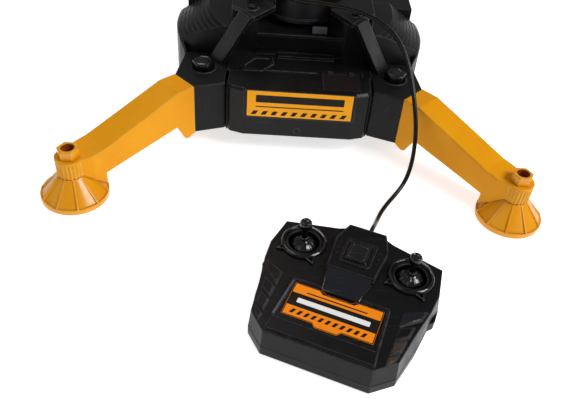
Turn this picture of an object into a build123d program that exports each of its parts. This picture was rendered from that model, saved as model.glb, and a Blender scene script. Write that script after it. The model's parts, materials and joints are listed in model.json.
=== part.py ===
from build123d import *
import os
from math import cos, hypot, pi, radians, sin, tan

# Toy tower crane on four outriggers, with a wired hand controller.
# Millimetres. The origin is where the slewing axis meets the floor, +Z is up,
# the controller lies in front (-Y) and the jib points to the back (+Y) at rest.

# ---------------------------------------------------------------- driving dimensions
BASE_LOW = 20.8                 # underside of the base above the floor
SEAM = 24.0                     # the tray's top, where the housings start
DECK_TOP = 79.0
BLOCK_TOP = 77.0
WALL = 2.5
GAP = 0.25                      # between housings that butt against each other

CONSOLE_HALF = 75.0
CONSOLE_FRONT = -131.0
CONSOLE_BACK = -94.5
TONGUE_LOW, TONGUE_HIGH, TONGUE_BACK = 20.0, 68.0, -85.5    # the console's tongue behind the hatch
DECK_HALF = 77.5
MOTOR_BOX_HALF = 48.0
MOTOR_BOX_FRONT = -55.0
MOTOR_BOX_TOP = 107.0
REAR_START = 20.0               # where the raised rear housing begins

JOINT_X, JOINT_Y = 120.0, 116.5     # middle of a front outrigger's joint face
LEG_ANGLE = 44.65                   # front outriggers, from the sideways direction
REAR_JOINT_X, REAR_JOINT_Y = 106.0, 128.0
REAR_ANGLE = 78.0                   # the rear outriggers run nearly straight back
LEG_LENGTH = 139.07                 # joint face to foot centre
LEG_WIDTH = 32.0
FOOT_RADIUS = 33.0
HUB_RADIUS = 13.0
HUB_LOW, HUB_TOP = 28.0, 47.0
FOOT_TOP = 57.0
STEM_RADIUS = 8.0
STAKE_RADIUS = 6.5
BOLT_X, BOLT_Y = 103.0, 88.0
BOLT_ACROSS, BOLT_HEAD = 19.0, 7.0
SCREW_X, SCREW_Y = 54.0, 63.0

COVER_RADIUS = 141.0
CONE_RADIUS = 104.0
CONE_TOP, CONE_LOW = 114.0, 88.0
PLATFORM_TOP = 136.0
PLATFORM_THICK = 5.0
DRUM_RADIUS = 46.0
DRUM_LOW, DRUM_TOP = 114.0, 142.0
SPINDLE_RADIUS = 6.0
RUNNING = 0.05                  # radial clearance of a turning fit

MODULE = 1.0
GEAR_TEETH, PINION_TEETH = 68, 16
PINION_Y = MODULE * (GEAR_TEETH + PINION_TEETH) / 2

MAST_WIDTH = 62.0
MAST_SECTION = 156.0
MAST_SECTIONS = 6
MAST_LOW = 148.0
PANEL = 4.0
MAST_TOP = MAST_LOW + MAST_SECTION * MAST_SECTIONS
HOUSE_TOP = MAST_TOP + 60.0
HOUSE_X, HOUSE_Y = 42.0, 48.0   # half sizes of the machinery housing
JIB_LOW = MAST_TOP + 12.0
JIB_HALF = 19.0
JIB_RISE = 40.0
JIB_END = 560.0
COUNTER_END = -240.0
APEX_TOP = 1280.0

TROLLEY_Y = 300.0
TROLLEY_HALF = 25.0
TROLLEY_FLOOR = JIB_LOW - 16.0
HOOK_Z = 700.0                  # sheave centre of the hook block at rest
SHEAVE_RADIUS = 7.0
ROPE_RADIUS = 0.6
HOIST_DRUM_Y, WINCH_DRUM_Y = -88.0, -128.0
DRUM_Z = JIB_LOW + 18.0

TX_X, TX_Y, TX_ANGLE = 62.4, -287.4, -21.0      # middle of the controller's back edge
TX_SEAM = 10.0
TX_TOP = 30.0
STICK_S, STICK_T = 49.0, -30.0
STICK_PIVOT = 22.0
DOME_RADIUS = 13.4

CORD_RADIUS = 2.25
# Middle line of the cord, chosen by hand: out of the gland on the platform, across the
# front of the drum, down past the corner to the floor, and up into the controller's back.
CORD_ROUTE = [
    (-39.5, -37.5, 146.0), (-26, -50.5, 146.4), (-8, -59.5, 146.2), (15, -62.5, 145.6),
    (37, -64, 145), (57, -69, 143), (75, -77, 139.5), (90, -88, 133.5), (101, -101, 124),
    (108.5, -115, 111.5), (113.5, -129, 96.5), (117.5, -143, 80), (120.5, -155, 62),
    (121.5, -164, 43), (120.5, -171.5, 25), (115.5, -181, 10.5), (105, -194, 3.2),
    (95, -208, 2.4), (87, -222, 2.3), (81.5, -236, 4.2), (77.4, -248, 9.5),
    (73.9, -257.5, 14.2), (69.57, -268.73, 15.4)]


# ---------------------------------------------------------------- helpers
def upright(x, y, angle, z=0.0):
    """A vertical plane at x, y: its own X axis lies along angle, its own Y axis is up."""
    turn = radians(angle)
    return Plane(origin=(x, y, z), x_dir=(cos(turn), sin(turn), 0), z_dir=(sin(turn), -cos(turn), 0))


def corner_angle(side, end):
    """The direction of the outrigger on one corner; side and end are -1 or 1."""
    angle = REAR_ANGLE if end > 0 else LEG_ANGLE
    return (angle if side > 0 else 180 - angle) * end


def joint_middle(side, end):
    x, y = (REAR_JOINT_X, REAR_JOINT_Y) if end > 0 else (JOINT_X, JOINT_Y)
    return side * x, end * y


def foot_centre(side, end):
    x, y = joint_middle(side, end)
    turn = radians(corner_angle(side, end))
    return x + LEG_LENGTH * cos(turn), y + LEG_LENGTH * sin(turn)


def prism(points, low, high, mode=Mode.ADD):
    """An upright prism on a plan outline, in the part being made."""
    with BuildSketch(Plane.XY.offset(low)) as outline:
        Polygon(*points, align=None)
    extrude(outline.sketch, amount=high - low, dir=(0, 0, 1), mode=mode)


def pocket(points, low, high, inset=WALL):
    """Hollow out an upright prism, leaving a wall inside the plan outline."""
    area = sum(a[0] * b[1] - b[0] * a[1] for a, b in zip(points, points[1:] + points[:1]))
    with BuildSketch(Plane.XY.offset(low)) as outline:
        Polygon(*(points if area > 0 else points[::-1]), align=None)
        offset(amount=-inset, kind=Kind.INTERSECTION, mode=Mode.REPLACE)
    extrude(outline.sketch, amount=high - low, dir=(0, 0, 1), mode=Mode.SUBTRACT)


def slab(plane, points, half, mode=Mode.ADD):
    """A profile on a plane, thickened by half to both sides."""
    with BuildSketch(plane) as outline:
        Polygon(*points, align=None)
    extrude(outline.sketch, amount=half, both=True, mode=mode)


def block(low, high, mode=Mode.ADD):
    """An axis-aligned box between two opposite corners."""
    middle = tuple((a + b) / 2 for a, b in zip(low, high))
    with Locations(middle):
        Box(high[0] - low[0], high[1] - low[1], high[2] - low[2], mode=mode)


def disc(x, y, low, high, radius, mode=Mode.ADD):
    """An upright cylinder."""
    with Locations((x, y, (low + high) / 2)):
        Cylinder(radius, high - low, mode=mode)


def cross_rod(x0, x1, y, z, radius, mode=Mode.ADD):
    """A cylinder along X."""
    with Locations(Location(((x0 + x1) / 2, y, z), (0, 90, 0))):
        Cylinder(radius, x1 - x0, mode=mode)


def bar(start, end, width, depth):
    """A straight rectangular bar from point to point."""
    run = Vector(*end) - Vector(*start)
    with BuildSketch(Plane(origin=start, z_dir=run)) as section:
        Rectangle(width, depth)
    extrude(section.sketch, amount=run.length)


def lattice(plane, width, length, bays, chord, brace, thick):
    """A flat lattice panel along the plane's Y axis, braced in a zigzag."""
    bay = (length - chord) / bays
    side = width / 2 - chord
    with BuildSketch(plane) as panel:
        with Locations((0, length / 2)):
            Rectangle(width, length)
        for index in range(bays):
            low = chord + index * bay
            high = low + bay - chord
            lean = 1 if index % 2 else -1
            near = [(-lean * side, low + brace), (-lean * side, high), (lean * (side - brace), high)]
            far = [(lean * side, high - brace), (lean * side, low), (-lean * (side - brace), low)]
            Polygon(*near, align=None, mode=Mode.SUBTRACT)
            Polygon(*far, align=None, mode=Mode.SUBTRACT)
    extrude(panel.sketch, amount=thick / 2, both=True)


def tooth_ring(teeth, plane, height, turn=0.0):
    """A spur gear blank with straight-sided teeth, thinned for backlash."""
    pitch = MODULE * teeth / 2
    root, tip = pitch - 1.25 * MODULE, pitch + 0.85 * MODULE
    root_half, tip_half = 0.95 * MODULE, 0.30 * MODULE
    with BuildSketch(plane) as gear:
        Circle(root)
        for index in range(teeth):
            with Locations(Rotation(0, 0, turn + 360 * index / teeth)):
                Polygon((root - 0.5, -root_half), (tip, -tip_half), (tip, tip_half),
                        (root - 0.5, root_half), align=None)
    extrude(gear.sketch, amount=height)


# ---------------------------------------------------------------- base
def corner_outline(side, end):
    turn = radians(corner_angle(side, end))
    x, y = joint_middle(side, end)
    across = (-sin(turn) * LEG_WIDTH / 2, cos(turn) * LEG_WIDTH / 2)
    low = (x + across[0], y + across[1])
    high = (x - across[0], y - across[1])
    inner, outer = sorted((low, high), key=lambda point: abs(point[0]))
    start = 128 if end > 0 else 117
    return [(side * 78, end * start), inner, outer, (side * 126, end * 57), (side * 78, end * 57)]


def base_tray():
    with BuildPart() as tray:
        prism([(-60, -125.5), (60, -125.5), (70, -120), (70, -110), (77, -110), (77, -56), (125, -56),
               (137, -30), (137, 19), (128, 19), (128, 56), (77, 56), (77, 128), (-77, 128), (-77, 56),
               (-128, 56), (-128, 19), (-137, 19), (-137, -30), (-125, -56), (-77, -56),
               (-77, -110), (-70, -110), (-70, -120)], BASE_LOW, SEAM)
        with Locations((0, 0, BASE_LOW + 1.2)):
            with GridLocations(130, 90, 2, 2):
                CounterBoreHole(1.6, 3.2, 1.4, 10)
    tray.part.label = "base_tray"
    export_step(tray.part, "parts/base_tray.step")


def base_deck():
    with BuildPart() as deck:
        block((-DECK_HALF, CONSOLE_BACK + GAP, SEAM), (DECK_HALF, REAR_START - GAP, DECK_TOP))
        block((-DECK_HALF + WALL, CONSOLE_BACK + GAP + WALL, SEAM),
              (DECK_HALF - WALL, REAR_START, DECK_TOP - 3), mode=Mode.SUBTRACT)
        block((-MOTOR_BOX_HALF, MOTOR_BOX_FRONT, DECK_TOP - 3),
              (MOTOR_BOX_HALF, REAR_START - GAP, MOTOR_BOX_TOP))
        block((-MOTOR_BOX_HALF + WALL, MOTOR_BOX_FRONT + WALL, DECK_TOP - 4),
              (MOTOR_BOX_HALF - WALL, REAR_START, MOTOR_BOX_TOP - 3), mode=Mode.SUBTRACT)
        # hexagonal emboss and the step line across the deck
        prism([(-64, -83), (-50, -63), (-30, -63), (-28, -77), (-41, -93), (-61, -93)],
              DECK_TOP, DECK_TOP + 1.2)
        prism([(-59, -83), (-48, -67), (-33, -67), (-32, -77), (-43, -89), (-58, -89)],
              DECK_TOP + 0.4, DECK_TOP + 2, mode=Mode.SUBTRACT)
        block((-38, -90.5, DECK_TOP), (19, -89.2, DECK_TOP + 0.8))
        # low step in front of the motor box, and the lip over its front
        block((-24, -63, DECK_TOP - 1), (38, MOTOR_BOX_FRONT + 1, DECK_TOP + 3))
        block((-MOTOR_BOX_HALF, MOTOR_BOX_FRONT - 6, MOTOR_BOX_TOP - 3.5),
              (MOTOR_BOX_HALF, MOTOR_BOX_FRONT + 1, MOTOR_BOX_TOP))
        # room for the console's tongue behind the hatch
        block((TONGUE_LOW - GAP, CONSOLE_BACK - 1, 0), (TONGUE_HIGH + GAP, TONGUE_BACK + GAP, 200),
              mode=Mode.SUBTRACT)
    deck.part.label = "base_deck"
    export_step(deck.part, "parts/base_deck.step")


HATCH = (25.0, 63.5, -123.0, -90.5)     # plan limits of the hatch in the console's top


def front_console():
    low_x, high_x, low_y, high_y = HATCH
    top = DECK_TOP + 1
    outline = [(-CONSOLE_HALF, CONSOLE_BACK), (-CONSOLE_HALF, CONSOLE_FRONT + 9),
               (-CONSOLE_HALF + 3, CONSOLE_FRONT + 4.5), (-CONSOLE_HALF + 17, CONSOLE_FRONT),
               (CONSOLE_HALF - 17, CONSOLE_FRONT), (CONSOLE_HALF - 3, CONSOLE_FRONT + 4.5),
               (CONSOLE_HALF, CONSOLE_FRONT + 9), (CONSOLE_HALF, CONSOLE_BACK),
               (TONGUE_HIGH, CONSOLE_BACK), (TONGUE_HIGH, TONGUE_BACK), (TONGUE_LOW, TONGUE_BACK),
               (TONGUE_LOW, CONSOLE_BACK)]
    with BuildPart() as console:
        prism(outline, SEAM, top)
        rim = console.faces().sort_by(Axis.Z)[-1].edges()
        chamfer([edge for edge in rim if edge.center().Y < CONSOLE_FRONT + 8], 2.5)
        pocket(outline, SEAM, top - WALL)
        # raised panel that carries the label
        block((-57.5, CONSOLE_FRONT - 0.6, 46.5), (59, CONSOLE_FRONT + 2.6, top))
        # tray and opening under the hatch
        block((low_x - 2, low_y - 1.5, top - 26), (high_x + 2, high_y + 0.6, top))
        block((low_x, low_y, top - 24), (high_x, high_y - 2, top), mode=Mode.SUBTRACT)
        block((low_x, low_y, top - 2.2), (high_x, high_y + 0.4, top), mode=Mode.SUBTRACT)
        # sockets beside the hatch for its hinge knuckles
        for x in (low_x + 8, high_x - 8):
            cross_rod(x - 3.3, x + 3.3, high_y + 0.8, top + 0.9, 2.1, mode=Mode.SUBTRACT)
        # screw dimple low on the front face
        with Locations(Location((0, CONSOLE_FRONT, 31), (90, 0, 0))):
            Cylinder(3.4, 1.6, mode=Mode.SUBTRACT)
    console.part.label = "front_console"
    export_step(console.part, "parts/front_console.step")


def console_hatch():
    low_x, high_x, low_y, high_y = HATCH
    top = DECK_TOP + 1
    with BuildPart() as hatch:
        block((low_x + 0.3, low_y + 0.3, top - 2), (high_x - 0.3, high_y - 0.4, top + 0.3))
        for x in (low_x + 8, high_x - 8):
            cross_rod(x - 2.9, x + 2.9, high_y + 0.8, top + 0.9, 1.7)
            block((x - 2.9, high_y - 3, top + 0.1), (x + 2.9, high_y + 0.6, top + 1.3))
    hatch.part.label = "console_hatch"
    export_step(hatch.part, "parts/console_hatch.step")


def corner_block(side, end, name):
    points = corner_outline(side, end)
    turn = corner_angle(side, end)
    with BuildPart() as corner:
        prism(points, BASE_LOW, BLOCK_TOP)
        chamfer(corner.faces().sort_by(Axis.Z)[-1].edges(), 1.0)
        pocket(points, BASE_LOW, BLOCK_TOP - WALL)
        # raised ring round the bolt, and the bolt's hole
        disc(side * BOLT_X, end * BOLT_Y, BLOCK_TOP - 2, BLOCK_TOP + 0.8, 13.4)
        disc(side * BOLT_X, end * BOLT_Y, BLOCK_TOP - 0.4, BLOCK_TOP + 2, 12.2, mode=Mode.SUBTRACT)
        disc(side * BOLT_X, end * BOLT_Y, BASE_LOW, BLOCK_TOP, 4.2, mode=Mode.SUBTRACT)
        # window in the joint face for the outrigger's tongue
        plane = upright(*joint_middle(side, end), turn)
        slab(plane, [(-6, 34), (4, 34), (4, 66), (-6, 66)], 10.3, mode=Mode.SUBTRACT)
    corner.part.label = name
    export_step(corner.part, f"parts/{name}.step")


def side_cover(side, name):
    """Quarter-round cover with a stepped conical top, between two corner blocks."""
    steps = 8
    rise = (CONE_TOP - CONE_LOW) / steps
    width = (COVER_RADIUS - CONE_RADIUS) / steps
    profile = [(74, CONE_TOP)]
    for index in range(steps):
        start_r, start_z = CONE_RADIUS + index * width, CONE_TOP - index * rise
        profile += [(start_r, start_z),
                    (start_r + width - 1.1, start_z - 0.86 * rise),
                    (start_r + width - 0.5, start_z - rise - 0.35)]
    profile += [(COVER_RADIUS, CONE_LOW - 0.8), (COVER_RADIUS, SEAM), (COVER_RADIUS - WALL, SEAM),
                (COVER_RADIUS - WALL, CONE_LOW - 3), (CONE_RADIUS - 1, CONE_TOP - 3),
                (74, CONE_TOP - 3)]
    low = BLOCK_TOP + GAP
    hollow = [(60, SEAM), (COVER_RADIUS - 1, SEAM), (COVER_RADIUS - 1, CONE_LOW - 1.5),
              (CONE_RADIUS - 0.5, CONE_TOP - 1.5), (60, CONE_TOP - 1.5)]
    with BuildPart() as cover:
        # end walls: one under the slanted front edge, one in front of the rear housing
        prism([(side * 77.75, -64.3), (side * 146, -41.7), (side * 146, -39.2), (side * 77.75, -61.8)],
              SEAM, CONE_TOP)
        block((min(side * 78, side * 146), REAR_START - GAP - WALL, SEAM),
              (max(side * 78, side * 146), REAR_START - GAP, CONE_TOP))
        with BuildSketch(Plane.XZ):
            Polygon(*hollow, align=None)
        revolve(axis=Axis.Z, mode=Mode.INTERSECT)
        with BuildSketch(Plane.XZ):
            Polygon(*profile, align=None)
        revolve(axis=Axis.Z)
        # inner wall, standing on the deck's side
        block((min(side * 77.75, side * 80), -57 + GAP, SEAM),
              (max(side * 77.75, side * 80), REAR_START - GAP, CONE_TOP - 2))
        # only the stretch between the slanted front edge and the rear housing
        prism([(side * 60, -70.2), (side * 146, -41.7), (side * 146, -200), (side * 60, -200)],
              0, 200, mode=Mode.SUBTRACT)
        block((-200, REAR_START - GAP, 0), (200, 200, 200), mode=Mode.SUBTRACT)
        block((min(side * 76, side * -200), -200, 0), (max(side * 76, side * -200), 200, 200),
              mode=Mode.SUBTRACT)
        block((-200, -200, 0), (200, -57 + GAP, low), mode=Mode.SUBTRACT)
        # wall beside the corner block, with a slanted top
        wall = Plane(origin=(side * 125.5, -56.6, 0), x_dir=(side * 7, 11.8, 0), z_dir=(11.8, side * -7, 0))
        slab(wall, [(0.6, SEAM), (13.7, SEAM), (13.7, CONE_LOW - 1), (0.6, low)], 1.2)
    cover.part.label = name
    export_step(cover.part, f"parts/{name}.step")


def rear_housing():
    """T-shaped housing behind the turntable, raised at both sides and over the slewing motor."""
    outline = [(-131, REAR_START), (131, REAR_START), (131, 57 - GAP), (DECK_HALF, 57 - GAP),
               (DECK_HALF, 131), (-DECK_HALF, 131), (-DECK_HALF, 57 - GAP), (-131, 57 - GAP)]
    with BuildPart() as housing:
        for low_x in (-131, DECK_HALF + GAP):
            block((low_x, REAR_START, SEAM), (low_x + 131 - DECK_HALF - GAP, 57 - GAP, MOTOR_BOX_TOP))
        sides = housing.faces().sort_by(Axis.Z)[-1].edges().filter_by(Axis.Y).group_by(Axis.X)
        chamfer(sides[0] + sides[-1], 5)
        prism(outline, SEAM, DECK_TOP)
        block((-MOTOR_BOX_HALF, REAR_START, DECK_TOP - 3), (MOTOR_BOX_HALF, 62, MOTOR_BOX_TOP))
        pocket(outline, SEAM, DECK_TOP - 3)
        for low_x in (-131 + WALL, DECK_HALF + GAP + WALL):
            block((low_x, REAR_START + WALL, SEAM),
                  (low_x + 131 - DECK_HALF - GAP - 2 * WALL, 57 - GAP - WALL, MOTOR_BOX_TOP - 5.5),
                  mode=Mode.SUBTRACT)
        block((-MOTOR_BOX_HALF + WALL, REAR_START + WALL, SEAM),
              (MOTOR_BOX_HALF - WALL, 62 - WALL, MOTOR_BOX_TOP - 2.7), mode=Mode.SUBTRACT)
        # shaft hole of the slewing motor, and cooling slots in the back wall
        disc(0, PINION_Y, MOTOR_BOX_TOP - 6, MOTOR_BOX_TOP + 1, 4.5, mode=Mode.SUBTRACT)
        for x in range(-40, 41, 10):
            block((x - 2, 126, 45), (x + 2, 134, 85), mode=Mode.SUBTRACT)
    housing.part.label = "rear_housing"
    export_step(housing.part, "parts/rear_housing.step")


def upper_platform():
    low = PLATFORM_TOP - PLATFORM_THICK
    with BuildPart() as platform:
        prism([(-51, -82.8), (-63.1, -67.1), (-75.5, -58), (-75.5, 58), (-63.1, 67.1), (-51, 82.8),
               (51, 82.8), (63.1, 67.1), (75.5, 58), (75.5, -58), (63.1, -67.1), (51, -82.8),
               (29.5, -55.5), (29.5, -10), (-29.5, -10), (-29.5, -55.5)],
              low, PLATFORM_TOP)
        for side in (-1, 1):
            block((min(side * 73.5, side * 75.5), -57, CONE_TOP + GAP),
                  (max(side * 73.5, side * 75.5), 57, low + 0.1))
        disc(0, 0, low - 1, PLATFORM_TOP + 1, DRUM_RADIUS + 3, mode=Mode.SUBTRACT)
        for x in (-SCREW_X, SCREW_X):
            for y in (-SCREW_Y, SCREW_Y):
                disc(x, y, PLATFORM_TOP - 0.1, PLATFORM_TOP + 1, 7)
                disc(x, y, low - 1, PLATFORM_TOP + 2, 1.7, mode=Mode.SUBTRACT)
    platform.part.label = "upper_platform"
    export_step(platform.part, "parts/upper_platform.step")


def brace_struts():
    """Four slanted flat braces from the corner blocks, flush with the platform's top, all alike."""
    foot = [(86.2, 81.2), (98.4, 63.5), (94, 60.5), (81.7, 78.1)]
    head = [(55.3, 86.3), (67, 71.2), (62.9, 68), (51.2, 83.1)]
    with BuildPart() as struts:
        for side in (-1, 1):
            for end in (-1, 1):
                with BuildSketch(Plane.XY.offset(BLOCK_TOP)) as low:
                    Polygon(*[(side * x, end * y) for x, y in foot], align=None)
                with BuildSketch(Plane.XY.offset(PLATFORM_TOP)) as high:
                    Polygon(*[(side * x, end * y) for x, y in head], align=None)
                loft([low.sketch, high.sketch])
    struts.part.label = "brace_struts"
    export_step(struts.part, "parts/brace_struts.step")


def base_fasteners():
    """Four hexagon bolts through the corner blocks and four screws on the platform."""
    with BuildPart() as fasteners:
        for side in (-1, 1):
            for end in (-1, 1):
                x, y = side * BOLT_X, end * BOLT_Y
                with BuildSketch(Plane.XY.offset(BLOCK_TOP)) as head:
                    with Locations((x, y)):
                        RegularPolygon(BOLT_ACROSS / 2, 6, major_radius=False, rotation=12 * side * end)
                extrude(head.sketch, amount=BOLT_HEAD)
                disc(x, y, BASE_LOW + 14, BLOCK_TOP, 4)
                disc(x, y, BLOCK_TOP + BOLT_HEAD - 1.6, BLOCK_TOP + BOLT_HEAD + 1, 6.5, mode=Mode.SUBTRACT)
                x, y = side * SCREW_X, end * SCREW_Y
                disc(x, y, PLATFORM_TOP - 9, PLATFORM_TOP + 1, 1.6)
                disc(x, y, PLATFORM_TOP + 1, PLATFORM_TOP + 3, 3.6)
                for angle in (0, 90):
                    with Locations(Location((x, y, PLATFORM_TOP + 2.6), (0, 0, angle))):
                        Box(4.4, 1, 1, mode=Mode.SUBTRACT)
    fasteners.part.label = "base_fasteners"
    export_step(fasteners.part, "parts/base_fasteners.step")


# ---------------------------------------------------------------- outriggers and feet
def outrigger(side, end, name):
    """Hollow leg, open underneath, with a tongue into the corner block and a hub for the foot."""
    x, y = foot_centre(side, end)
    plane = upright(*joint_middle(side, end), corner_angle(side, end))
    reach = LEG_LENGTH
    near = reach - 28.3             # where the leg's neck drops towards the foot
    outline = [(0.2, BLOCK_TOP), (20, BLOCK_TOP), (near - 1, 49.5), (reach - 12, HUB_TOP),
               (reach, HUB_TOP), (reach, 24), (near, 7), (near, 21.5),
               (23, 36.5), (13, 18), (9, 16.8), (0.2, 20)]
    pocket = [(3, BLOCK_TOP - 3), (19, BLOCK_TOP - 3), (near - 2, 46), (near + 8, 44),
              (near + 8, 24), (near + 3, 0), (3, 0)]
    with BuildPart() as leg:
        slab(plane, outline, LEG_WIDTH / 2)
        slab(plane, pocket, LEG_WIDTH / 2 - WALL, mode=Mode.SUBTRACT)
        # ribs across the hollow, and the tongue in the block
        for run in (40, 70, 92):
            slab(plane, [(run, 40 - run * 0.1), (run + 2, 40 - run * 0.1), (run + 2, 62 - run * 0.24),
                         (run, 62 - run * 0.24)], LEG_WIDTH / 2 - WALL + 0.1)
        slab(plane, [(-28, 35), (3.5, 35), (3.5, 65), (-28, 65)], 10)
        disc(side * BOLT_X, end * BOLT_Y, 0, 100, 4.05, mode=Mode.SUBTRACT)
        # the end narrows to the hub, and its side walls come down close over the foot's cone
        for edge in (-1, 1):
            corner = [(reach - 16, edge * 16.5), (reach - 16, edge * 16), (reach - 3.5, edge * 12.5),
                      (reach + 1, edge * 9), (reach + 1, edge * 16.5)]
            prism([tuple(plane.from_local_coords((run, 0, -across)))[:2] for run, across in corner],
                  0, 60, mode=Mode.SUBTRACT)
        with Locations((x, y, 0)):
            Cone(FOOT_RADIUS + 6.7, HUB_RADIUS - 0.2, HUB_LOW + 0.1, mode=Mode.SUBTRACT,
                 align=(Align.CENTER, Align.CENTER, Align.MIN))
        # hub with its ribbed collar
        disc(x, y, HUB_LOW, HUB_TOP, HUB_RADIUS)
        disc(x, y, HUB_TOP - 3, HUB_TOP, HUB_RADIUS + 0.8)
        for index in range(15):
            turn = radians(corner_angle(side, end) - 105 + 15 * index)
            disc(x + HUB_RADIUS * cos(turn), y + HUB_RADIUS * sin(turn), HUB_LOW, HUB_TOP - 3, 0.9)
        disc(x, y, 0, 100, STEM_RADIUS + RUNNING, mode=Mode.SUBTRACT)
    leg.part.label = name
    export_step(leg.part, f"parts/{name}.step")


def foot(side, end, name):
    """Ten-sided conical foot with a hollow stem, and the hexagon cap that holds it in the hub."""
    x, y = foot_centre(side, end)
    sides = 10
    with BuildPart() as pad:
        with BuildSketch(Plane.XY.offset(5)) as low:
            with Locations((x, y)):
                RegularPolygon(FOOT_RADIUS - 1.2, sides)
        with BuildSketch(Plane.XY.offset(HUB_LOW - 0.6)) as high:
            with Locations((x, y)):
                RegularPolygon(HUB_RADIUS - 0.8, sides)
        loft([low.sketch, high.sketch])
        disc(x, y, 0, 5, FOOT_RADIUS)
        for index in range(sides):
            slab(upright(x, y, 360 * index / sides),
                 [(HUB_RADIUS - 3, HUB_LOW - 0.8), (HUB_RADIUS - 0.2, HUB_LOW - 0.8),
                  (FOOT_RADIUS - 0.3, 6.4), (FOOT_RADIUS - 0.3, 4), (FOOT_RADIUS - 6, 4)], 0.8)
        # hollow underneath, then the stem with its stake hole
        with BuildSketch(Plane.XZ.offset(-y)) as inside:
            Polygon((x, 0), (x + FOOT_RADIUS - 2.6, 0), (x + FOOT_RADIUS - 3.4, 3.5),
                    (x + HUB_RADIUS - 3.4, HUB_LOW - 3.4), (x, HUB_LOW - 3.4), align=None)
        revolve(inside.sketch, axis=Axis((x, y, 0), (0, 0, 1)), mode=Mode.SUBTRACT)
        disc(x, y, 8, HUB_TOP + 0.3, STEM_RADIUS)
        disc(x, y, 11, 60, STAKE_RADIUS, mode=Mode.SUBTRACT)
        with BuildSketch(Plane.XY.offset(HUB_TOP + 0.3)) as cap:
            with Locations((x, y)):
                RegularPolygon(9.2, 6, major_radius=False)
                Circle(STAKE_RADIUS, mode=Mode.SUBTRACT)
        extrude(cap.sketch, amount=FOOT_TOP - HUB_TOP - 0.3)
        chamfer(pad.faces().sort_by(Axis.Z)[-1].outer_wire().edges(), 0.9)
    pad.part.label = name
    export_step(pad.part, f"parts/{name}.step")


# ---------------------------------------------------------------- slewing gear
def slew_bearing():
    """Fixed plate and hollow spindle that the turntable turns on."""
    with BuildPart() as bearing:
        disc(0, 0, MOTOR_BOX_TOP, MOTOR_BOX_TOP + 1.5, 30)
        disc(0, 0, MOTOR_BOX_TOP + 1.5, MOTOR_BOX_TOP + 3, 12)
        disc(0, 0, MOTOR_BOX_TOP + 3, DRUM_TOP + 4, SPINDLE_RADIUS)
        disc(0, 0, MOTOR_BOX_TOP - 1, DRUM_TOP + 5, 2.6, mode=Mode.SUBTRACT)
    bearing.part.label = "slew_bearing"
    export_step(bearing.part, "parts/slew_bearing.step")


def turntable():
    """Drum with its ring gear underneath; the mast stands on its top."""
    gear_low = MOTOR_BOX_TOP + 3.2
    with BuildPart() as table:
        tooth_ring(GEAR_TEETH, Plane.XY.offset(gear_low), 3.6)
        disc(0, 0, DRUM_LOW, DRUM_LOW + 4, DRUM_RADIUS + 2.5)
        disc(0, 0, gear_low + 3.6, DRUM_TOP, DRUM_RADIUS)
        disc(0, 0, DRUM_LOW + 3, DRUM_TOP - 3, DRUM_RADIUS - 3, mode=Mode.SUBTRACT)
        disc(0, 0, gear_low, DRUM_TOP, SPINDLE_RADIUS + 5)
        disc(0, 0, 0, 200, SPINDLE_RADIUS + RUNNING, mode=Mode.SUBTRACT)
        with Locations((0, 0, DRUM_TOP + 3)):
            Box(MAST_WIDTH - 2 * PANEL - 0.4, MAST_WIDTH - 2 * PANEL - 0.4, 6)
        disc(0, 0, DRUM_TOP - 1, DRUM_TOP + 7, 18, mode=Mode.SUBTRACT)
    table.part.label = "turntable"
    export_step(table.part, "parts/turntable.step")


def slew_pinion():
    with BuildPart() as pinion:
        tooth_ring(PINION_TEETH, Plane.XY.offset(MOTOR_BOX_TOP + 3.2).move(Location((0, PINION_Y, 0))),
                   3.4, turn=90 + 180 / PINION_TEETH)
        disc(0, PINION_Y, MOTOR_BOX_TOP + 0.6, MOTOR_BOX_TOP + 3.2, 4)
        disc(0, PINION_Y, 0, 200, 1 + RUNNING, mode=Mode.SUBTRACT)
    pinion.part.label = "slew_pinion"
    export_step(pinion.part, "parts/slew_pinion.step")


def slew_motor():
    with BuildPart() as motor:
        disc(0, PINION_Y, MOTOR_BOX_TOP - 36, MOTOR_BOX_TOP - 4, 12)
        disc(0, PINION_Y, MOTOR_BOX_TOP - 4, MOTOR_BOX_TOP - 0.6, 4.4)
        disc(0, PINION_Y, MOTOR_BOX_TOP - 0.6, MOTOR_BOX_TOP + 6, 1)
        with Locations((0, PINION_Y, MOTOR_BOX_TOP - 38)):
            Box(14, 9, 4)
    motor.part.label = "slew_motor"
    export_step(motor.part, "parts/slew_motor.step")


# ---------------------------------------------------------------- tower
def mast_piece(first, name):
    """Two clip-together lattice sections of the mast, each a solid of its own."""
    with BuildPart() as mast:
        for index in (first, first + 1):
            low = MAST_LOW + index * MAST_SECTION
            inset = (MAST_WIDTH - PANEL) / 2
            for angle in (0, 90, 180, 270):
                turn = radians(angle)
                plane = upright(sin(turn) * inset, -cos(turn) * inset, angle, low)
                lattice(plane, MAST_WIDTH, MAST_SECTION - 0.1, 3, 6, 5, PANEL)
    mast.part.label = name
    export_step(mast.part, f"parts/{name}.step")


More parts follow.
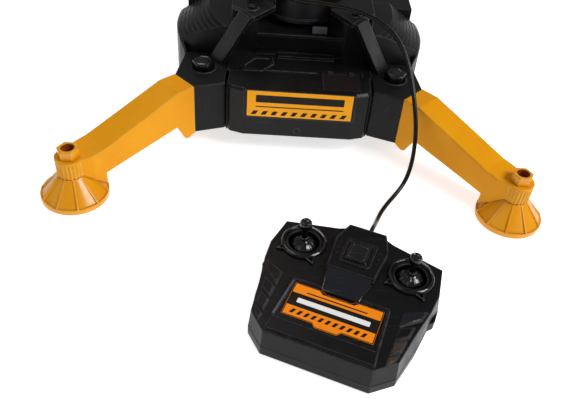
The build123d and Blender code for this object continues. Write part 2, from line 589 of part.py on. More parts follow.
def machinery_housing():
    """Box on the mast's top that holds the motors and carries the jib, cab and apex."""
    with BuildPart() as house:
        block((-HOUSE_X, -HOUSE_Y, MAST_TOP), (HOUSE_X, HOUSE_Y, HOUSE_TOP))
        chamfer(house.edges().filter_by(Axis.Z), 6)
        chamfer(house.faces().sort_by(Axis.Z)[-1].edges(), 2)
        block((-HOUSE_X + 6, -HOUSE_Y + WALL, MAST_TOP), (HOUSE_X - 6, HOUSE_Y - WALL, HOUSE_TOP - 3),
              mode=Mode.SUBTRACT)
        block((-HOUSE_X + WALL, -HOUSE_Y + 6, MAST_TOP), (HOUSE_X - WALL, HOUSE_Y - 6, HOUSE_TOP - 3),
              mode=Mode.SUBTRACT)
        for x in (-15, 15):
            for z in range(6):
                low = MAST_TOP + 12 + 6 * z
                block((x - 8, -HOUSE_Y - 1, low), (x + 8, -HOUSE_Y + 4, low + 2.5), mode=Mode.SUBTRACT)
    house.part.label = "machinery_housing"
    export_step(house.part, "parts/machinery_housing.step")


def winch_motors():
    """The hoist and trolley motors inside the machinery housing, as a pair."""
    with BuildPart() as motors:
        for y in (-20, 20):
            cross_rod(-20, 20, y, MAST_TOP + 30, 12)
            block((-26, y - 14, MAST_TOP + 16), (-20, y + 14, MAST_TOP + 44))
            block((20, y - 5, MAST_TOP + 25), (23, y + 5, MAST_TOP + 35))
    motors.part.label = "winch_motors"
    export_step(motors.part, "parts/winch_motors.step")


def operator_cab():
    """Cab on the housing's side: a shell with front, side and roof-edge window openings."""
    low_x, high_x = HOUSE_X, HOUSE_X + 40
    with BuildPart() as cab:
        slab(Plane.YZ.offset((low_x + high_x) / 2),
             [(2, MAST_TOP - 6), (46, MAST_TOP - 6), (54, MAST_TOP + 12), (46, MAST_TOP + 52),
              (2, MAST_TOP + 52)], (high_x - low_x) / 2)
        slab(Plane.YZ.offset((low_x + high_x) / 2),
             [(4, MAST_TOP - 4), (45, MAST_TOP - 4), (51.6, MAST_TOP + 12), (44.2, MAST_TOP + 50),
              (4, MAST_TOP + 50)], (high_x - low_x) / 2 - 2, mode=Mode.SUBTRACT)
        block((low_x + 5, 40, MAST_TOP + 16), (high_x - 5, 60, MAST_TOP + 46), mode=Mode.SUBTRACT)
        block((high_x - 4, 8, MAST_TOP + 18), (high_x + 2, 38, MAST_TOP + 46), mode=Mode.SUBTRACT)
        # seat and console inside
        block((low_x + 13, 10, MAST_TOP - 4), (high_x - 13, 24, MAST_TOP + 8))
        block((low_x + 13, 10, MAST_TOP + 8), (high_x - 13, 13, MAST_TOP + 26))
        block((low_x + 8, 36, MAST_TOP - 4), (high_x - 8, 44, MAST_TOP + 10))
    cab.part.label = "operator_cab"
    export_step(cab.part, "parts/operator_cab.step")


def jib():
    """Three-sided lattice jib in three clip-together sections, with rails for the trolley."""
    sections = 3
    span = (JIB_END - HOUSE_Y) / sections
    slope = hypot(JIB_HALF, JIB_RISE)
    with BuildPart() as boom:
        for index in range(sections):
            start = HOUSE_Y + index * span
            length = span - (0.1 if index < sections - 1 else 0)
            for side in (-1, 1):
                plane = Plane(origin=(side * JIB_HALF / 2, start, JIB_LOW + JIB_RISE / 2),
                              x_dir=(-side * JIB_HALF / slope, 0, JIB_RISE / slope),
                              z_dir=(-JIB_RISE / slope, 0, -side * JIB_HALF / slope))
                lattice(plane, slope, length, 5, 4, 3.4, 3)
                block((min(side * 14, side * 24.5), start, JIB_LOW),
                      (max(side * 14, side * 24.5), start + length, JIB_LOW + 2.5))
            for rung in range(5):
                y = start + (rung + 0.08) * length / 5
                block((-18, y, JIB_LOW), (18, y + 4, JIB_LOW + 2.5))
            block((-3.5, start, JIB_LOW + JIB_RISE - 3), (3.5, start + length, JIB_LOW + JIB_RISE + 2))
        # end plate at the tip, holding the ropes' ends
        block((-25.5, JIB_END - 4, JIB_LOW - 14), (25.5, JIB_END, JIB_LOW))
    boom.part.label = "jib"
    export_step(boom.part, "parts/jib.step")


def counter_jib():
    """Flat counter-jib with the bearing plates of both winch drums and the ballast frame."""
    low = JIB_LOW + 2
    with BuildPart() as frame:
        with BuildSketch(Plane.XY.offset(low)) as floor:
            with Locations((0, (COUNTER_END - HOUSE_Y) / 2)):
                Rectangle(64, -COUNTER_END - HOUSE_Y)
            with Locations(*[(x, y) for x in (-15, 15) for y in (-64, -108, -148, -176)]):
                Rectangle(22, 16, mode=Mode.SUBTRACT)
            with Locations((0, -212)):
                Rectangle(50, 40, mode=Mode.SUBTRACT)
        extrude(floor.sketch, amount=3)
        for x in (-32, 29.5):
            block((x, COUNTER_END, low + 3), (x + 2.5, -HOUSE_Y, low + 9))
        for y in (HOIST_DRUM_Y, WINCH_DRUM_Y):
            for x in (-25, 22):
                plate = [(y - 12, low + 2.9), (y + 12, low + 2.9), (y + 5, DRUM_Z + 6), (y - 5, DRUM_Z + 6)]
                slab(Plane.YZ.offset(x + 1.5), plate, 1.5)
            cross_rod(-40, 40, y, DRUM_Z, 2 + RUNNING, mode=Mode.SUBTRACT)
    frame.part.label = "counter_jib"
    export_step(frame.part, "parts/counter_jib.step")


def counterweights():
    """Two ballast blocks hanging in the counter-jib's frame by their shoulders."""
    low = JIB_LOW + 5
    with BuildPart() as weights:
        for y in (-202, -222):
            block((-24, y - 9.5, low - 44), (24, y + 9.5, low))
            block((-28, y - 9.5, low), (28, y + 9.5, low + 8))
    weights.part.label = "counterweights"
    export_step(weights.part, "parts/counterweights.step")


def apex_frame():
    """Four raked posts that meet at the tower's apex, with two rings of cross bars."""
    with BuildPart() as apex:
        for x in (-1, 1):
            for y in (-1, 1):
                bar((x * 26, y * 26, HOUSE_TOP), (x * 4, y * 4, APEX_TOP - 8), 6, 6)
        for share in (0.36, 0.7):
            z = HOUSE_TOP + share * (APEX_TOP - 8 - HOUSE_TOP)
            half = 26 - share * 22
            for side in (-1, 1):
                bar((-half, side * half, z), (half, side * half, z), 4, 4)
                bar((side * half, -half, z), (side * half, half, z), 4, 4)
        block((-8, -9, APEX_TOP - 14), (8, 9, APEX_TOP))
        block((-60, -60, HOUSE_TOP - 20), (60, 60, HOUSE_TOP), mode=Mode.SUBTRACT)
    apex.part.label = "apex_frame"
    export_step(apex.part, "parts/apex_frame.step")


def pendants():
    """Tie rods from the apex to the jib's top and to the counter-jib's tail."""
    with BuildPart() as rods:
        for start, end in (((0, 7, APEX_TOP - 6), (0, 388, JIB_LOW + JIB_RISE + 1)),
                           ((0, 7.5, APEX_TOP - 11), (0, 205, JIB_LOW + JIB_RISE + 1)),
                           ((-5, -7, APEX_TOP - 7), (-30.7, -232, JIB_LOW + 9)),
                           ((5, -7, APEX_TOP - 7), (30.7, -232, JIB_LOW + 9))):
            run = Vector(*end) - Vector(*start)
            with BuildSketch(Plane(origin=start, z_dir=run)) as section:
                Circle(1.5)
            extrude(section.sketch, amount=run.length)
    rods.part.label = "pendants"
    export_step(rods.part, "parts/pendants.step")


def jib_lines():
    """The hoist rope and the trolley's endless line, pulled tight along the jib's underside."""
    with BuildPart() as lines:
        for x, z in ((0, JIB_LOW - 5), (-10, JIB_LOW - 4), (10, JIB_LOW - 4)):
            with Locations(Location((x, (HOUSE_Y + JIB_END - 4) / 2, z), (90, 0, 0))):
                Cylinder(ROPE_RADIUS, JIB_END - 4 - HOUSE_Y)
        for x in (-10, 10):
            with BuildSketch(Plane(origin=(x, WINCH_DRUM_Y, DRUM_Z + 9), z_dir=(0, 1, 0))) as section:
                Circle(ROPE_RADIUS)
            extrude(section.sketch, amount=-HOUSE_Y - WINCH_DRUM_Y)
    lines.part.label = "jib_lines"
    export_step(lines.part, "parts/jib_lines.step")


def winch_drum(y, name):
    with BuildPart() as drum:
        cross_rod(-26.5, 26.5, y, DRUM_Z, 2)
        cross_rod(-20, 20, y, DRUM_Z, 8)
        cross_rod(-21.5, -19.5, y, DRUM_Z, 12.5)
        cross_rod(19.5, 21.5, y, DRUM_Z, 12.5)
        for x in (-20.4, 20.4):
            for angle in range(0, 360, 60):
                hole_y, hole_z = y + 9.8 * cos(radians(angle)), DRUM_Z + 9.8 * sin(radians(angle))
                cross_rod(x - 3, x + 3, hole_y, hole_z, 1.2, mode=Mode.SUBTRACT)
    drum.part.label = name
    export_step(drum.part, f"parts/{name}.step")


def trolley():
    """Carriage that hangs under the jib, its four lips sliding on the rails."""
    low_y, high_y = TROLLEY_Y - TROLLEY_HALF, TROLLEY_Y + TROLLEY_HALF
    with BuildPart() as carriage:
        block((-28, low_y, TROLLEY_FLOOR), (28, high_y, TROLLEY_FLOOR + 3))
        for side in (-1, 1):
            block((min(side * 25.2, side * 28), low_y, TROLLEY_FLOOR),
                  (max(side * 25.2, side * 28), high_y, JIB_LOW + 7))
            for y in (low_y, high_y - 12):
                block((min(side * 20.6, side * 26), y, JIB_LOW + 2.8),
                      (max(side * 20.6, side * 26), y + 12, JIB_LOW + 6))
            block((min(side * 24, side * 29), TROLLEY_Y - 9, TROLLEY_FLOOR + 5),
                  (max(side * 24, side * 29), TROLLEY_Y + 9, TROLLEY_FLOOR + 12), mode=Mode.SUBTRACT)
        block((-8, TROLLEY_Y - 14, TROLLEY_FLOOR - 3), (8, TROLLEY_Y + 14, TROLLEY_FLOOR + 0.1))
        for y in (-SHEAVE_RADIUS, SHEAVE_RADIUS):
            disc(0, TROLLEY_Y + y, TROLLEY_FLOOR - 3, TROLLEY_FLOOR + 4, ROPE_RADIUS + 0.9,
                 mode=Mode.SUBTRACT)
            disc(0, TROLLEY_Y + y, TROLLEY_FLOOR + 0.5, TROLLEY_FLOOR + 3, ROPE_RADIUS + 1)
    carriage.part.label = "trolley"
    export_step(carriage.part, "parts/trolley.step")


def hoist_rope():
    """Two falls of the hoist rope from the trolley down to the hook block's sheave."""
    with BuildPart() as rope:
        for y in (-SHEAVE_RADIUS, SHEAVE_RADIUS):
            disc(0, TROLLEY_Y + y, HOOK_Z, TROLLEY_FLOOR + 0.4, ROPE_RADIUS)
    rope.part.label = "hoist_rope"
    export_step(rope.part, "parts/hoist_rope.step")


def hook_block():
    y = TROLLEY_Y
    half = [(6, -20), (11, -6), (10, 7), (5, 11)]
    cheek = [(y + run, HOOK_Z + rise) for run, rise in half]
    cheek += [(y - run, HOOK_Z + rise) for run, rise in reversed(half)]
    with BuildPart() as cheeks:
        for side in (-1, 1):
            slab(Plane.YZ.offset(side * 4), cheek, 1.4)
        block((-5.4, y - 6, HOOK_Z - 22), (5.4, y + 6, HOOK_Z - 16))
        cross_rod(-5.4, 5.4, y, HOOK_Z, 1.5)
        disc(0, y, HOOK_Z - 30, HOOK_Z - 10, 2 + RUNNING, mode=Mode.SUBTRACT)
    cheeks.part.label = "hook_block"
    export_step(cheeks.part, "parts/hook_block.step")


def hook_sheave():
    y = TROLLEY_Y
    with BuildPart() as sheave:
        with BuildSketch(Plane.XZ.offset(-y)) as half:
            Polygon((-2, HOOK_Z + 1.5 + RUNNING), (2, HOOK_Z + 1.5 + RUNNING), (2, HOOK_Z + 8.6),
                    (0.7, HOOK_Z + SHEAVE_RADIUS - 0.8), (-0.7, HOOK_Z + SHEAVE_RADIUS - 0.8),
                    (-2, HOOK_Z + 8.6), align=None)
        revolve(half.sketch, axis=Axis((0, y, HOOK_Z), (1, 0, 0)))
    sheave.part.label = "hook_sheave"
    export_step(sheave.part, "parts/hook_sheave.step")


def hook():
    """Swivelling hook: a shank with a collar, and a round bowl open at one side."""
    y, centre = TROLLEY_Y, HOOK_Z - 38.0
    bowl, wire = 8.0, 2.4
    with BuildPart() as hanger:
        disc(0, y, centre + bowl + wire, HOOK_Z - 15, 2)
        disc(0, y, HOOK_Z - 15.8, HOOK_Z - 13.6, 2.5)
        disc(0, y, centre + bowl - 1, HOOK_Z - 23, 3)
        with BuildLine() as path:
            CenterArc((0, 0), bowl, 90, -245)
        with BuildSketch(Plane(origin=(0, y, centre + bowl), z_dir=(0, 1, 0))) as section:
            Circle(wire)
        route = path.line.moved(Location((0, 0, 0)))
        sweep(section.sketch, path=Plane(origin=(0, y, centre), x_dir=(0, 1, 0), z_dir=(1, 0, 0)) * route)
    hanger.part.label = "hook"
    export_step(hanger.part, "parts/hook.step")


# ---------------------------------------------------------------- hand controller
TX = Plane(origin=(TX_X, TX_Y, 0), x_dir=(cos(radians(TX_ANGLE)), sin(radians(TX_ANGLE)), 0),
           z_dir=(0, 0, 1))
TX_HALF = [(18, 8), (27, 3), (74.5, -8), (79, -40), (79, -52), (75, -57), (71, -86), (63, -120), (46, -135)]
TX_TOP_HALF = [(17, 6), (26, 1.5), (73, -10), (76.5, -40), (74, -60), (67.5, -88), (61.5, -119), (45.5, -133.8)]
GRIP_PADS = [[(53.5, -71), (71, -62), (68.5, -72.5), (53.5, -86)],
             [(53.2, -88.5), (65, -81.5), (63, -94.5), (53.2, -100.5)],
             [(52.8, -103), (62.3, -97), (61, -109.5), (52.8, -116)],
             [(52.3, -118.5), (60.3, -112), (58.5, -119.8), (52.3, -126)]]


def tx_outline(half):
    return half + [(-s, t) for s, t in reversed(half)]


def tx_prism(points, low, high, mode=Mode.ADD):
    with BuildSketch(TX.offset(low)) as outline:
        Polygon(*points, align=None)
    extrude(outline.sketch, amount=high - low, dir=(0, 0, 1), mode=mode)


def tx_block(low, high, mode=Mode.ADD):
    tx_prism([(low[0], low[1]), (high[0], low[1]), (high[0], high[1]), (low[0], high[1])],
             low[2], high[2], mode)


def tx_disc(s, t, low, high, radius, mode=Mode.ADD):
    with BuildSketch(TX.offset(low)) as outline:
        with Locations((s, t)):
            Circle(radius)
    extrude(outline.sketch, amount=high - low, dir=(0, 0, 1), mode=mode)


def tx_rod(start, end, radius, mode=Mode.ADD):
    """A cylinder between two points given in the controller's own axes."""
    first, last = TX.from_local_coords(Vector(*start)), TX.from_local_coords(Vector(*end))
    with BuildSketch(Plane(origin=first, z_dir=last - first)) as section:
        Circle(radius)
    extrude(section.sketch, amount=(last - first).length, mode=mode)


def tx_lower_shell():
    with BuildPart() as shell:
        tx_prism(tx_outline(TX_HALF), 0, TX_SEAM)
        chamfer(shell.faces().sort_by(Axis.Z)[0].edges(), 1.2)
        tx_prism(tx_outline([(s - 2.4, t + (-2.4 if t > -10 else 0)) for s, t in TX_HALF[:-1]]
                            + [(45, -132.6)]), 2.2, TX_SEAM + 1, mode=Mode.SUBTRACT)
        # battery bay walls and the opening for its cover, screw posts, groove for the cord
        tx_block((-33, -104, 2), (33, -46, TX_SEAM))
        tx_block((-31, -102, 2.2), (31, -48, TX_SEAM), mode=Mode.SUBTRACT)
        tx_block((-28, -100, -1), (28, -50, 4), mode=Mode.SUBTRACT)
        for s in (-62, 62):
            for t in (-22, -84):
                tx_disc(s, t, 2, TX_SEAM, 3.4)
                tx_disc(s, t, -1, TX_SEAM, 1.4, mode=Mode.SUBTRACT)
    shell.part.label = "tx_lower_shell"
    export_step(shell.part, "parts/tx_lower_shell.step")


def tx_upper_shell():
    """Top shell: wings with the stick wells, raised centre, chin and grip pads."""
    low, wall = TX_SEAM, 2.4
    foot_half = TX_HALF[:4] + TX_HALF[5:]
    with BuildPart() as shell:
        for inset, high, mode in ((0, TX_TOP, Mode.ADD), (wall, TX_TOP - wall, Mode.SUBTRACT)):
            rings = []
            for half, z in ((foot_half, low), (TX_TOP_HALF, high)):
                inner = [(s - inset, t - inset if t > -20 else t + (inset if t < -130 else 0))
                         for s, t in half]
                with BuildSketch(TX.offset(z)) as ring:
                    Polygon(*tx_outline(inner), align=None)
                rings.append(ring.sketch)
            loft(rings, mode=mode)
        # raised centre housing with the pad's well, and the sloped glossy panel before it
        tx_prism([(17, 6), (24, -14), (21, -50), (-21, -50), (-24, -14), (-17, 6)], TX_TOP - 1, TX_TOP + 4)
        tx_prism([(20, -53), (16, -74), (-16, -74), (-20, -53)], TX_TOP - 1, TX_TOP + 2)
        # low frame round the label panel
        tx_prism([(42, -73), (45, -131), (-45, -131), (-42, -73)], TX_TOP - 1, TX_TOP + 2.2)
        tx_prism([(40, -75), (43, -118), (-43, -118), (-40, -75)], TX_TOP + 0.6, TX_TOP + 4,
                 mode=Mode.SUBTRACT)
        tx_block((-10.3, -37.3, 20), (10.3, -14.7, 40), mode=Mode.SUBTRACT)
        for side in (-1, 1):
            # stick well, its bezel and the bearing posts below
            s = side * STICK_S
            tx_disc(s, STICK_T, TX_TOP - 1, TX_TOP + 3, 20)
            tx_disc(s, STICK_T, 26, TX_TOP + 5, 14.2, mode=Mode.SUBTRACT)
            tx_disc(s, STICK_T, TX_TOP + 1.6, TX_TOP + 5, 17.5, mode=Mode.SUBTRACT)
            for lean in (-1, 1):
                post = s + lean * 16.7
                tx_block((post - 2.2, STICK_T - 4, STICK_PIVOT - 4), (post + 2.2, STICK_T + 4, TX_TOP - 1))
                tx_rod((post - 4, STICK_T, STICK_PIVOT), (post + 4, STICK_T, STICK_PIVOT), 1.2 + RUNNING,
                       mode=Mode.SUBTRACT)
            # grip pads along the side
            for pad in GRIP_PADS:
                tx_prism([(side * s, t) for s, t in pad], TX_TOP - 1, TX_TOP + 1.2)
        # hole for the strain relief
        tx_rod((0, 2, 15.4), (0, 12, 15.4), 4.0, mode=Mode.SUBTRACT)
    shell.part.label = "tx_upper_shell"
    export_step(shell.part, "parts/tx_upper_shell.step")


def tx_label():
    """Printed label plate that lies in the frame on the controller's top."""
    with BuildPart() as plate:
        tx_prism([(38.5, -77.5), (38.5, -112), (12, -112), (9, -115.5), (-9, -115.5), (-12, -112),
                  (-38.5, -112), (-38.5, -77.5), (-14, -77.5), (-11, -80), (11, -80), (14, -77.5)],
                 TX_TOP + 0.6, TX_TOP + 1.4)
    plate.part.label = "tx_label"
    export_step(plate.part, "parts/tx_label.step")


def tx_button():
    """Square centre button in the raised housing, with a flange that keeps it in."""
    with BuildPart() as button:
        tx_block((-10, -37, TX_TOP - 5), (10, -15, TX_TOP + 6))
        chamfer(button.faces().sort_by(Axis.Z)[-1].edges(), 1.2)
        tx_block((-12.5, -39.5, TX_TOP - 5), (12.5, -12.5, TX_TOP - 3.2))
    button.part.label = "tx_button"
    export_step(button.part, "parts/tx_button.step")


def tx_gimbal(side, name):
    """Ring that tips about the controller's width axis and carries the stick's cross pin."""
    s = side * STICK_S
    with BuildPart() as ring:
        tx_disc(s, STICK_T, STICK_PIVOT - 2.5, STICK_PIVOT + 2.5, 11.2)
        tx_disc(s, STICK_T, STICK_PIVOT - 3, STICK_PIVOT + 3, 8.4, mode=Mode.SUBTRACT)
        for lean in (-1, 1):
            tx_rod((s + lean * 10.5, STICK_T, STICK_PIVOT), (s + lean * 18, STICK_T, STICK_PIVOT), 1.2)
        tx_rod((s, STICK_T - 13, STICK_PIVOT), (s, STICK_T + 13, STICK_PIVOT), 1.2 + RUNNING,
               mode=Mode.SUBTRACT)
    ring.part.label = name
    export_step(ring.part, f"parts/{name}.step")


def tx_stick(side, name):
    """Thumb stick: a dome over the gimbal, a shaft with a round knob, and the cross pin."""
    s = side * STICK_S
    dome_low = STICK_PIVOT + DOME_RADIUS * cos(radians(66))
    centre = TX.from_local_coords(Vector(s, STICK_T, STICK_PIVOT))
    with BuildPart() as stick:
        with Locations(centre):
            Sphere(DOME_RADIUS)
            Sphere(DOME_RADIUS - 1.2, mode=Mode.SUBTRACT)
        tx_disc(s, STICK_T, 0, dome_low, 20, mode=Mode.SUBTRACT)
        tx_disc(s, STICK_T, STICK_PIVOT - 6, 53, 2.6)
        with Locations((centre.X, centre.Y, 54)):
            Sphere(5.2)
        tx_disc(s, STICK_T, 52, 57, 5.2)
        tx_disc(s, STICK_T, 57, 62, 8, mode=Mode.SUBTRACT)
        tx_rod((s, STICK_T - 11, STICK_PIVOT), (s, STICK_T + 11, STICK_PIVOT), 1.2)
    stick.part.label = name
    export_step(stick.part, f"parts/{name}.step")


def tx_battery_cover():
    with BuildPart() as cover:
        tx_block((-27.7, -99.7, 0.3), (27.7, -50.3, 2.1))
        tx_block((-30.5, -60, 2.25), (30.5, -52, 3.6))
        tx_block((-26, -99, 2.1), (26, -51, 2.3))
        tx_disc(0, -94, -1, 5, 1.5, mode=Mode.SUBTRACT)
    cover.part.label = "tx_battery_cover"
    export_step(cover.part, "parts/tx_battery_cover.step")


def tx_cells():
    """Three AA cells side by side in the controller's battery bay."""
    with BuildPart() as cells:
        for t in (-60, -75, -90):
            tx_rod((-25, t, 11.2), (23.5, t, 11.2), 7.2)
            tx_rod((23.4, t, 11.2), (25.2, t, 11.2), 2.6)
    cells.part.label = "tx_cells"
    export_step(cells.part, "parts/tx_cells.step")


def tx_board():
    """Circuit board on the upper shell's underside, behind the cells, with its main parts."""
    with BuildPart() as board:
        tx_block((-30, -44, 12), (30, -8, 13.4))
        tx_block((-6, -30, 13.4), (6, -22, 16))
        tx_block((14, -20, 13.4), (24, -14, 17))
        tx_block((-26, -40, 13.4), (-18, -30, 18))
    board.part.label = "tx_board"
    export_step(board.part, "parts/tx_board.step")


def tx_strain_relief():
    """Tapered sleeve where the cord enters the controller's back."""
    exit_t, z = 20.0, 15.4
    with BuildPart() as sleeve:
        start, shoulder = TX.from_local_coords(Vector(0, 3, z)), TX.from_local_coords(Vector(0, 8.5, z))
        end = TX.from_local_coords(Vector(0, exit_t, z))
        with BuildSketch(Plane(origin=start, z_dir=end - start)) as neck:
            Circle(3.8)
        extrude(neck.sketch, amount=5.5)
        with BuildSketch(Plane(origin=shoulder, z_dir=end - start)) as wide:
            Circle(4.6)
        with BuildSketch(Plane(origin=end, z_dir=end - start)) as narrow:
            Circle(2.9)
        loft([wide.sketch, narrow.sketch])
    sleeve.part.label = "tx_strain_relief"
    export_step(sleeve.part, "parts/tx_strain_relief.step")


# ---------------------------------------------------------------- cord
def cord_gland():
    """Gland block on the platform, with the nozzle that the cord leaves from."""
    exit_point, second = Vector(*CORD_ROUTE[0]), Vector(*CORD_ROUTE[1])
    out = Vector(second.X - exit_point.X, second.Y - exit_point.Y, 0).normalized()
    with BuildPart() as gland:
        seat = exit_point - out * 17
        with Locations(Location((seat.X, seat.Y, PLATFORM_TOP + 8), (0, 0, -44))):
            Box(14, 16, 16)
        chamfer(gland.edges().filter_by(Axis.Z), 2)
        nozzle = exit_point - out * 10.2
        with BuildSketch(Plane(origin=nozzle, z_dir=second - exit_point)) as wide:
            Circle(4.4)
        with BuildSketch(Plane(origin=exit_point, z_dir=second - exit_point)) as narrow:
            Circle(2.9)
        loft([wide.sketch, narrow.sketch])
    gland.part.label = "cord_gland"
    export_step(gland.part, "parts/cord_gland.step")


def cord():
    """The control cord: straight runs joined by tangent arcs."""
    points = [Vector(*point) for point in CORD_ROUTE]
    radii = []
    for before, here, after in zip(points, points[1:], points[2:]):
        shorter = min((here - before).length, (after - here).length)
        turn = (here - before).get_angle(after - here)
        radii.append(0.45 * shorter / tan(radians(turn / 2)))
    print("cord radii", [round(radius) for radius in radii])
    with BuildPart() as tube:
        with BuildLine() as route:
            FilletPolyline(*CORD_ROUTE, radius=radii)
        with BuildSketch(Plane(origin=CORD_ROUTE[0], z_dir=points[1] - points[0])):
            Circle(CORD_RADIUS)
        middle = route.wires()[0]
        sweep(path=middle)
    expected = pi * CORD_RADIUS ** 2 * middle.length
    print("cord length", round(middle.length, 1), "volume ratio", round(tube.part.volume / expected, 4))
    tube.part.label = "cord"
    export_step(tube.part, "parts/cord.step")


# ---------------------------------------------------------------- all pieces
CORNERS = {"front_left": (-1, -1), "front_right": (1, -1), "rear_left": (-1, 1), "rear_right": (1, 1)}
os.makedirs("parts", exist_ok=True)
base_tray()
base_deck()
front_console()
console_hatch()
for place, (side, end) in CORNERS.items():
    corner_block(side, end, f"corner_block_{place}")
    outrigger(side, end, f"outrigger_{place}")
    foot(side, end, f"foot_{place}")
side_cover(-1, "side_cover_left")
side_cover(1, "side_cover_right")
rear_housing()
upper_platform()
brace_struts()
base_fasteners()
slew_bearing()
turntable()
slew_pinion()
slew_motor()
mast_piece(0, "mast_lower")
mast_piece(2, "mast_middle")
mast_piece(4, "mast_upper")
machinery_housing()
winch_motors()
operator_cab()
jib()
counter_jib()
counterweights()
apex_frame()
pendants()
jib_lines()
winch_drum(HOIST_DRUM_Y, "hoist_drum")
winch_drum(WINCH_DRUM_Y, "trolley_drum")
trolley()
hoist_rope()
hook_block()
hook_sheave()
hook()
tx_lower_shell()
tx_upper_shell()
tx_label()
tx_button()
tx_gimbal(-1, "tx_gimbal_left")
tx_gimbal(1, "tx_gimbal_right")
tx_stick(-1, "tx_stick_left")
tx_stick(1, "tx_stick_right")
tx_battery_cover()
tx_cells()
tx_board()
tx_strain_relief()
cord_gland()
cord()
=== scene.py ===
import json
import math

import bmesh
import bpy
from mathutils import Matrix, Vector


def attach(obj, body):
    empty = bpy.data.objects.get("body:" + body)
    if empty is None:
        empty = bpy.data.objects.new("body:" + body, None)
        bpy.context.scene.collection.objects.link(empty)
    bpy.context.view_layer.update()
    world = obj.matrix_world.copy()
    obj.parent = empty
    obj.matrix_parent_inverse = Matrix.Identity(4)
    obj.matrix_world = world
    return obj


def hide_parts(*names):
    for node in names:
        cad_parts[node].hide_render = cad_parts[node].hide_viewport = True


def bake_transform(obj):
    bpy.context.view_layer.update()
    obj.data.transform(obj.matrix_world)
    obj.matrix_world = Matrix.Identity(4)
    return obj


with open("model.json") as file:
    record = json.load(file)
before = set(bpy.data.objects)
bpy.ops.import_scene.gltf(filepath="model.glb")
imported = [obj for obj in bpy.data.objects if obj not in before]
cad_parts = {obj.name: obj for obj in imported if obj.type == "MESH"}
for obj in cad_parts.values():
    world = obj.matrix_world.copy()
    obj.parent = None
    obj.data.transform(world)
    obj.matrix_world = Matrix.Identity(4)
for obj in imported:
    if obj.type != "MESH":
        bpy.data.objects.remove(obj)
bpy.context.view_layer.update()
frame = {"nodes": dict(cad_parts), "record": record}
MM = 0.001


# ---------------------------------------------------------------- camera
CAMERA_AT = Vector((-0.03486, -0.71662, 0.45300))
LOOK_AT = Vector((-0.00457, -0.21220, 0.0))
CAMERA_ROLL = math.radians(5.379)
camera_data = bpy.data.cameras.new("camera")
camera_data.sensor_width = 36.0
camera_data.lens = 41.48
camera_data.clip_start = 0.01
camera = bpy.data.objects.new("camera", camera_data)
turn = (CAMERA_AT - LOOK_AT).to_track_quat("Z", "Y").to_matrix().to_4x4()
camera.matrix_world = Matrix.Translation(CAMERA_AT) @ turn @ Matrix.Rotation(CAMERA_ROLL, 4, "Z")
bpy.context.scene.collection.objects.link(camera)
bpy.context.scene.camera = camera


# ---------------------------------------------------------------- cord
CORD_DIAMETER = 0.0045
CORD_ROUTE_MM = [
    (-39.5, -37.5, 146.0), (-26, -50.5, 146.4), (-8, -59.5, 146.2), (15, -62.5, 145.6),
    (37, -64, 145), (57, -69, 143), (75, -77, 139.5), (90, -88, 133.5), (101, -101, 124),
    (108.5, -115, 111.5), (113.5, -129, 96.5), (117.5, -143, 80), (120.5, -155, 62),
    (121.5, -164, 43), (120.5, -171.5, 25), (115.5, -181, 10.5), (105, -194, 3.2),
    (95, -208, 2.4), (87, -222, 2.3), (81.5, -236, 4.2), (77.4, -248, 9.5),
    (73.9, -257.5, 14.2), (69.57, -268.73, 15.4)]
cord_curve = bpy.data.curves.new("control_cord", "CURVE")
cord_curve.dimensions = "3D"
cord_curve.bevel_depth = 1.0        # times each point's radius, which also widens the curve's bounds
cord_curve.bevel_resolution = 5
cord_curve.resolution_u = 10
cord_curve.use_fill_caps = True
spline = cord_curve.splines.new("NURBS")
spline.points.add(len(CORD_ROUTE_MM) - 1)
for point, (x, y, z) in zip(spline.points, CORD_ROUTE_MM):
    point.co = (x * MM, y * MM, z * MM, 1)
    point.radius = CORD_DIAMETER / 2
spline.order_u = 3
spline.use_endpoint_u = True
control_cord = bpy.data.objects.new("control_cord", cord_curve)
bpy.context.scene.collection.objects.link(control_cord)
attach(control_cord, "base")
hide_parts("cord")


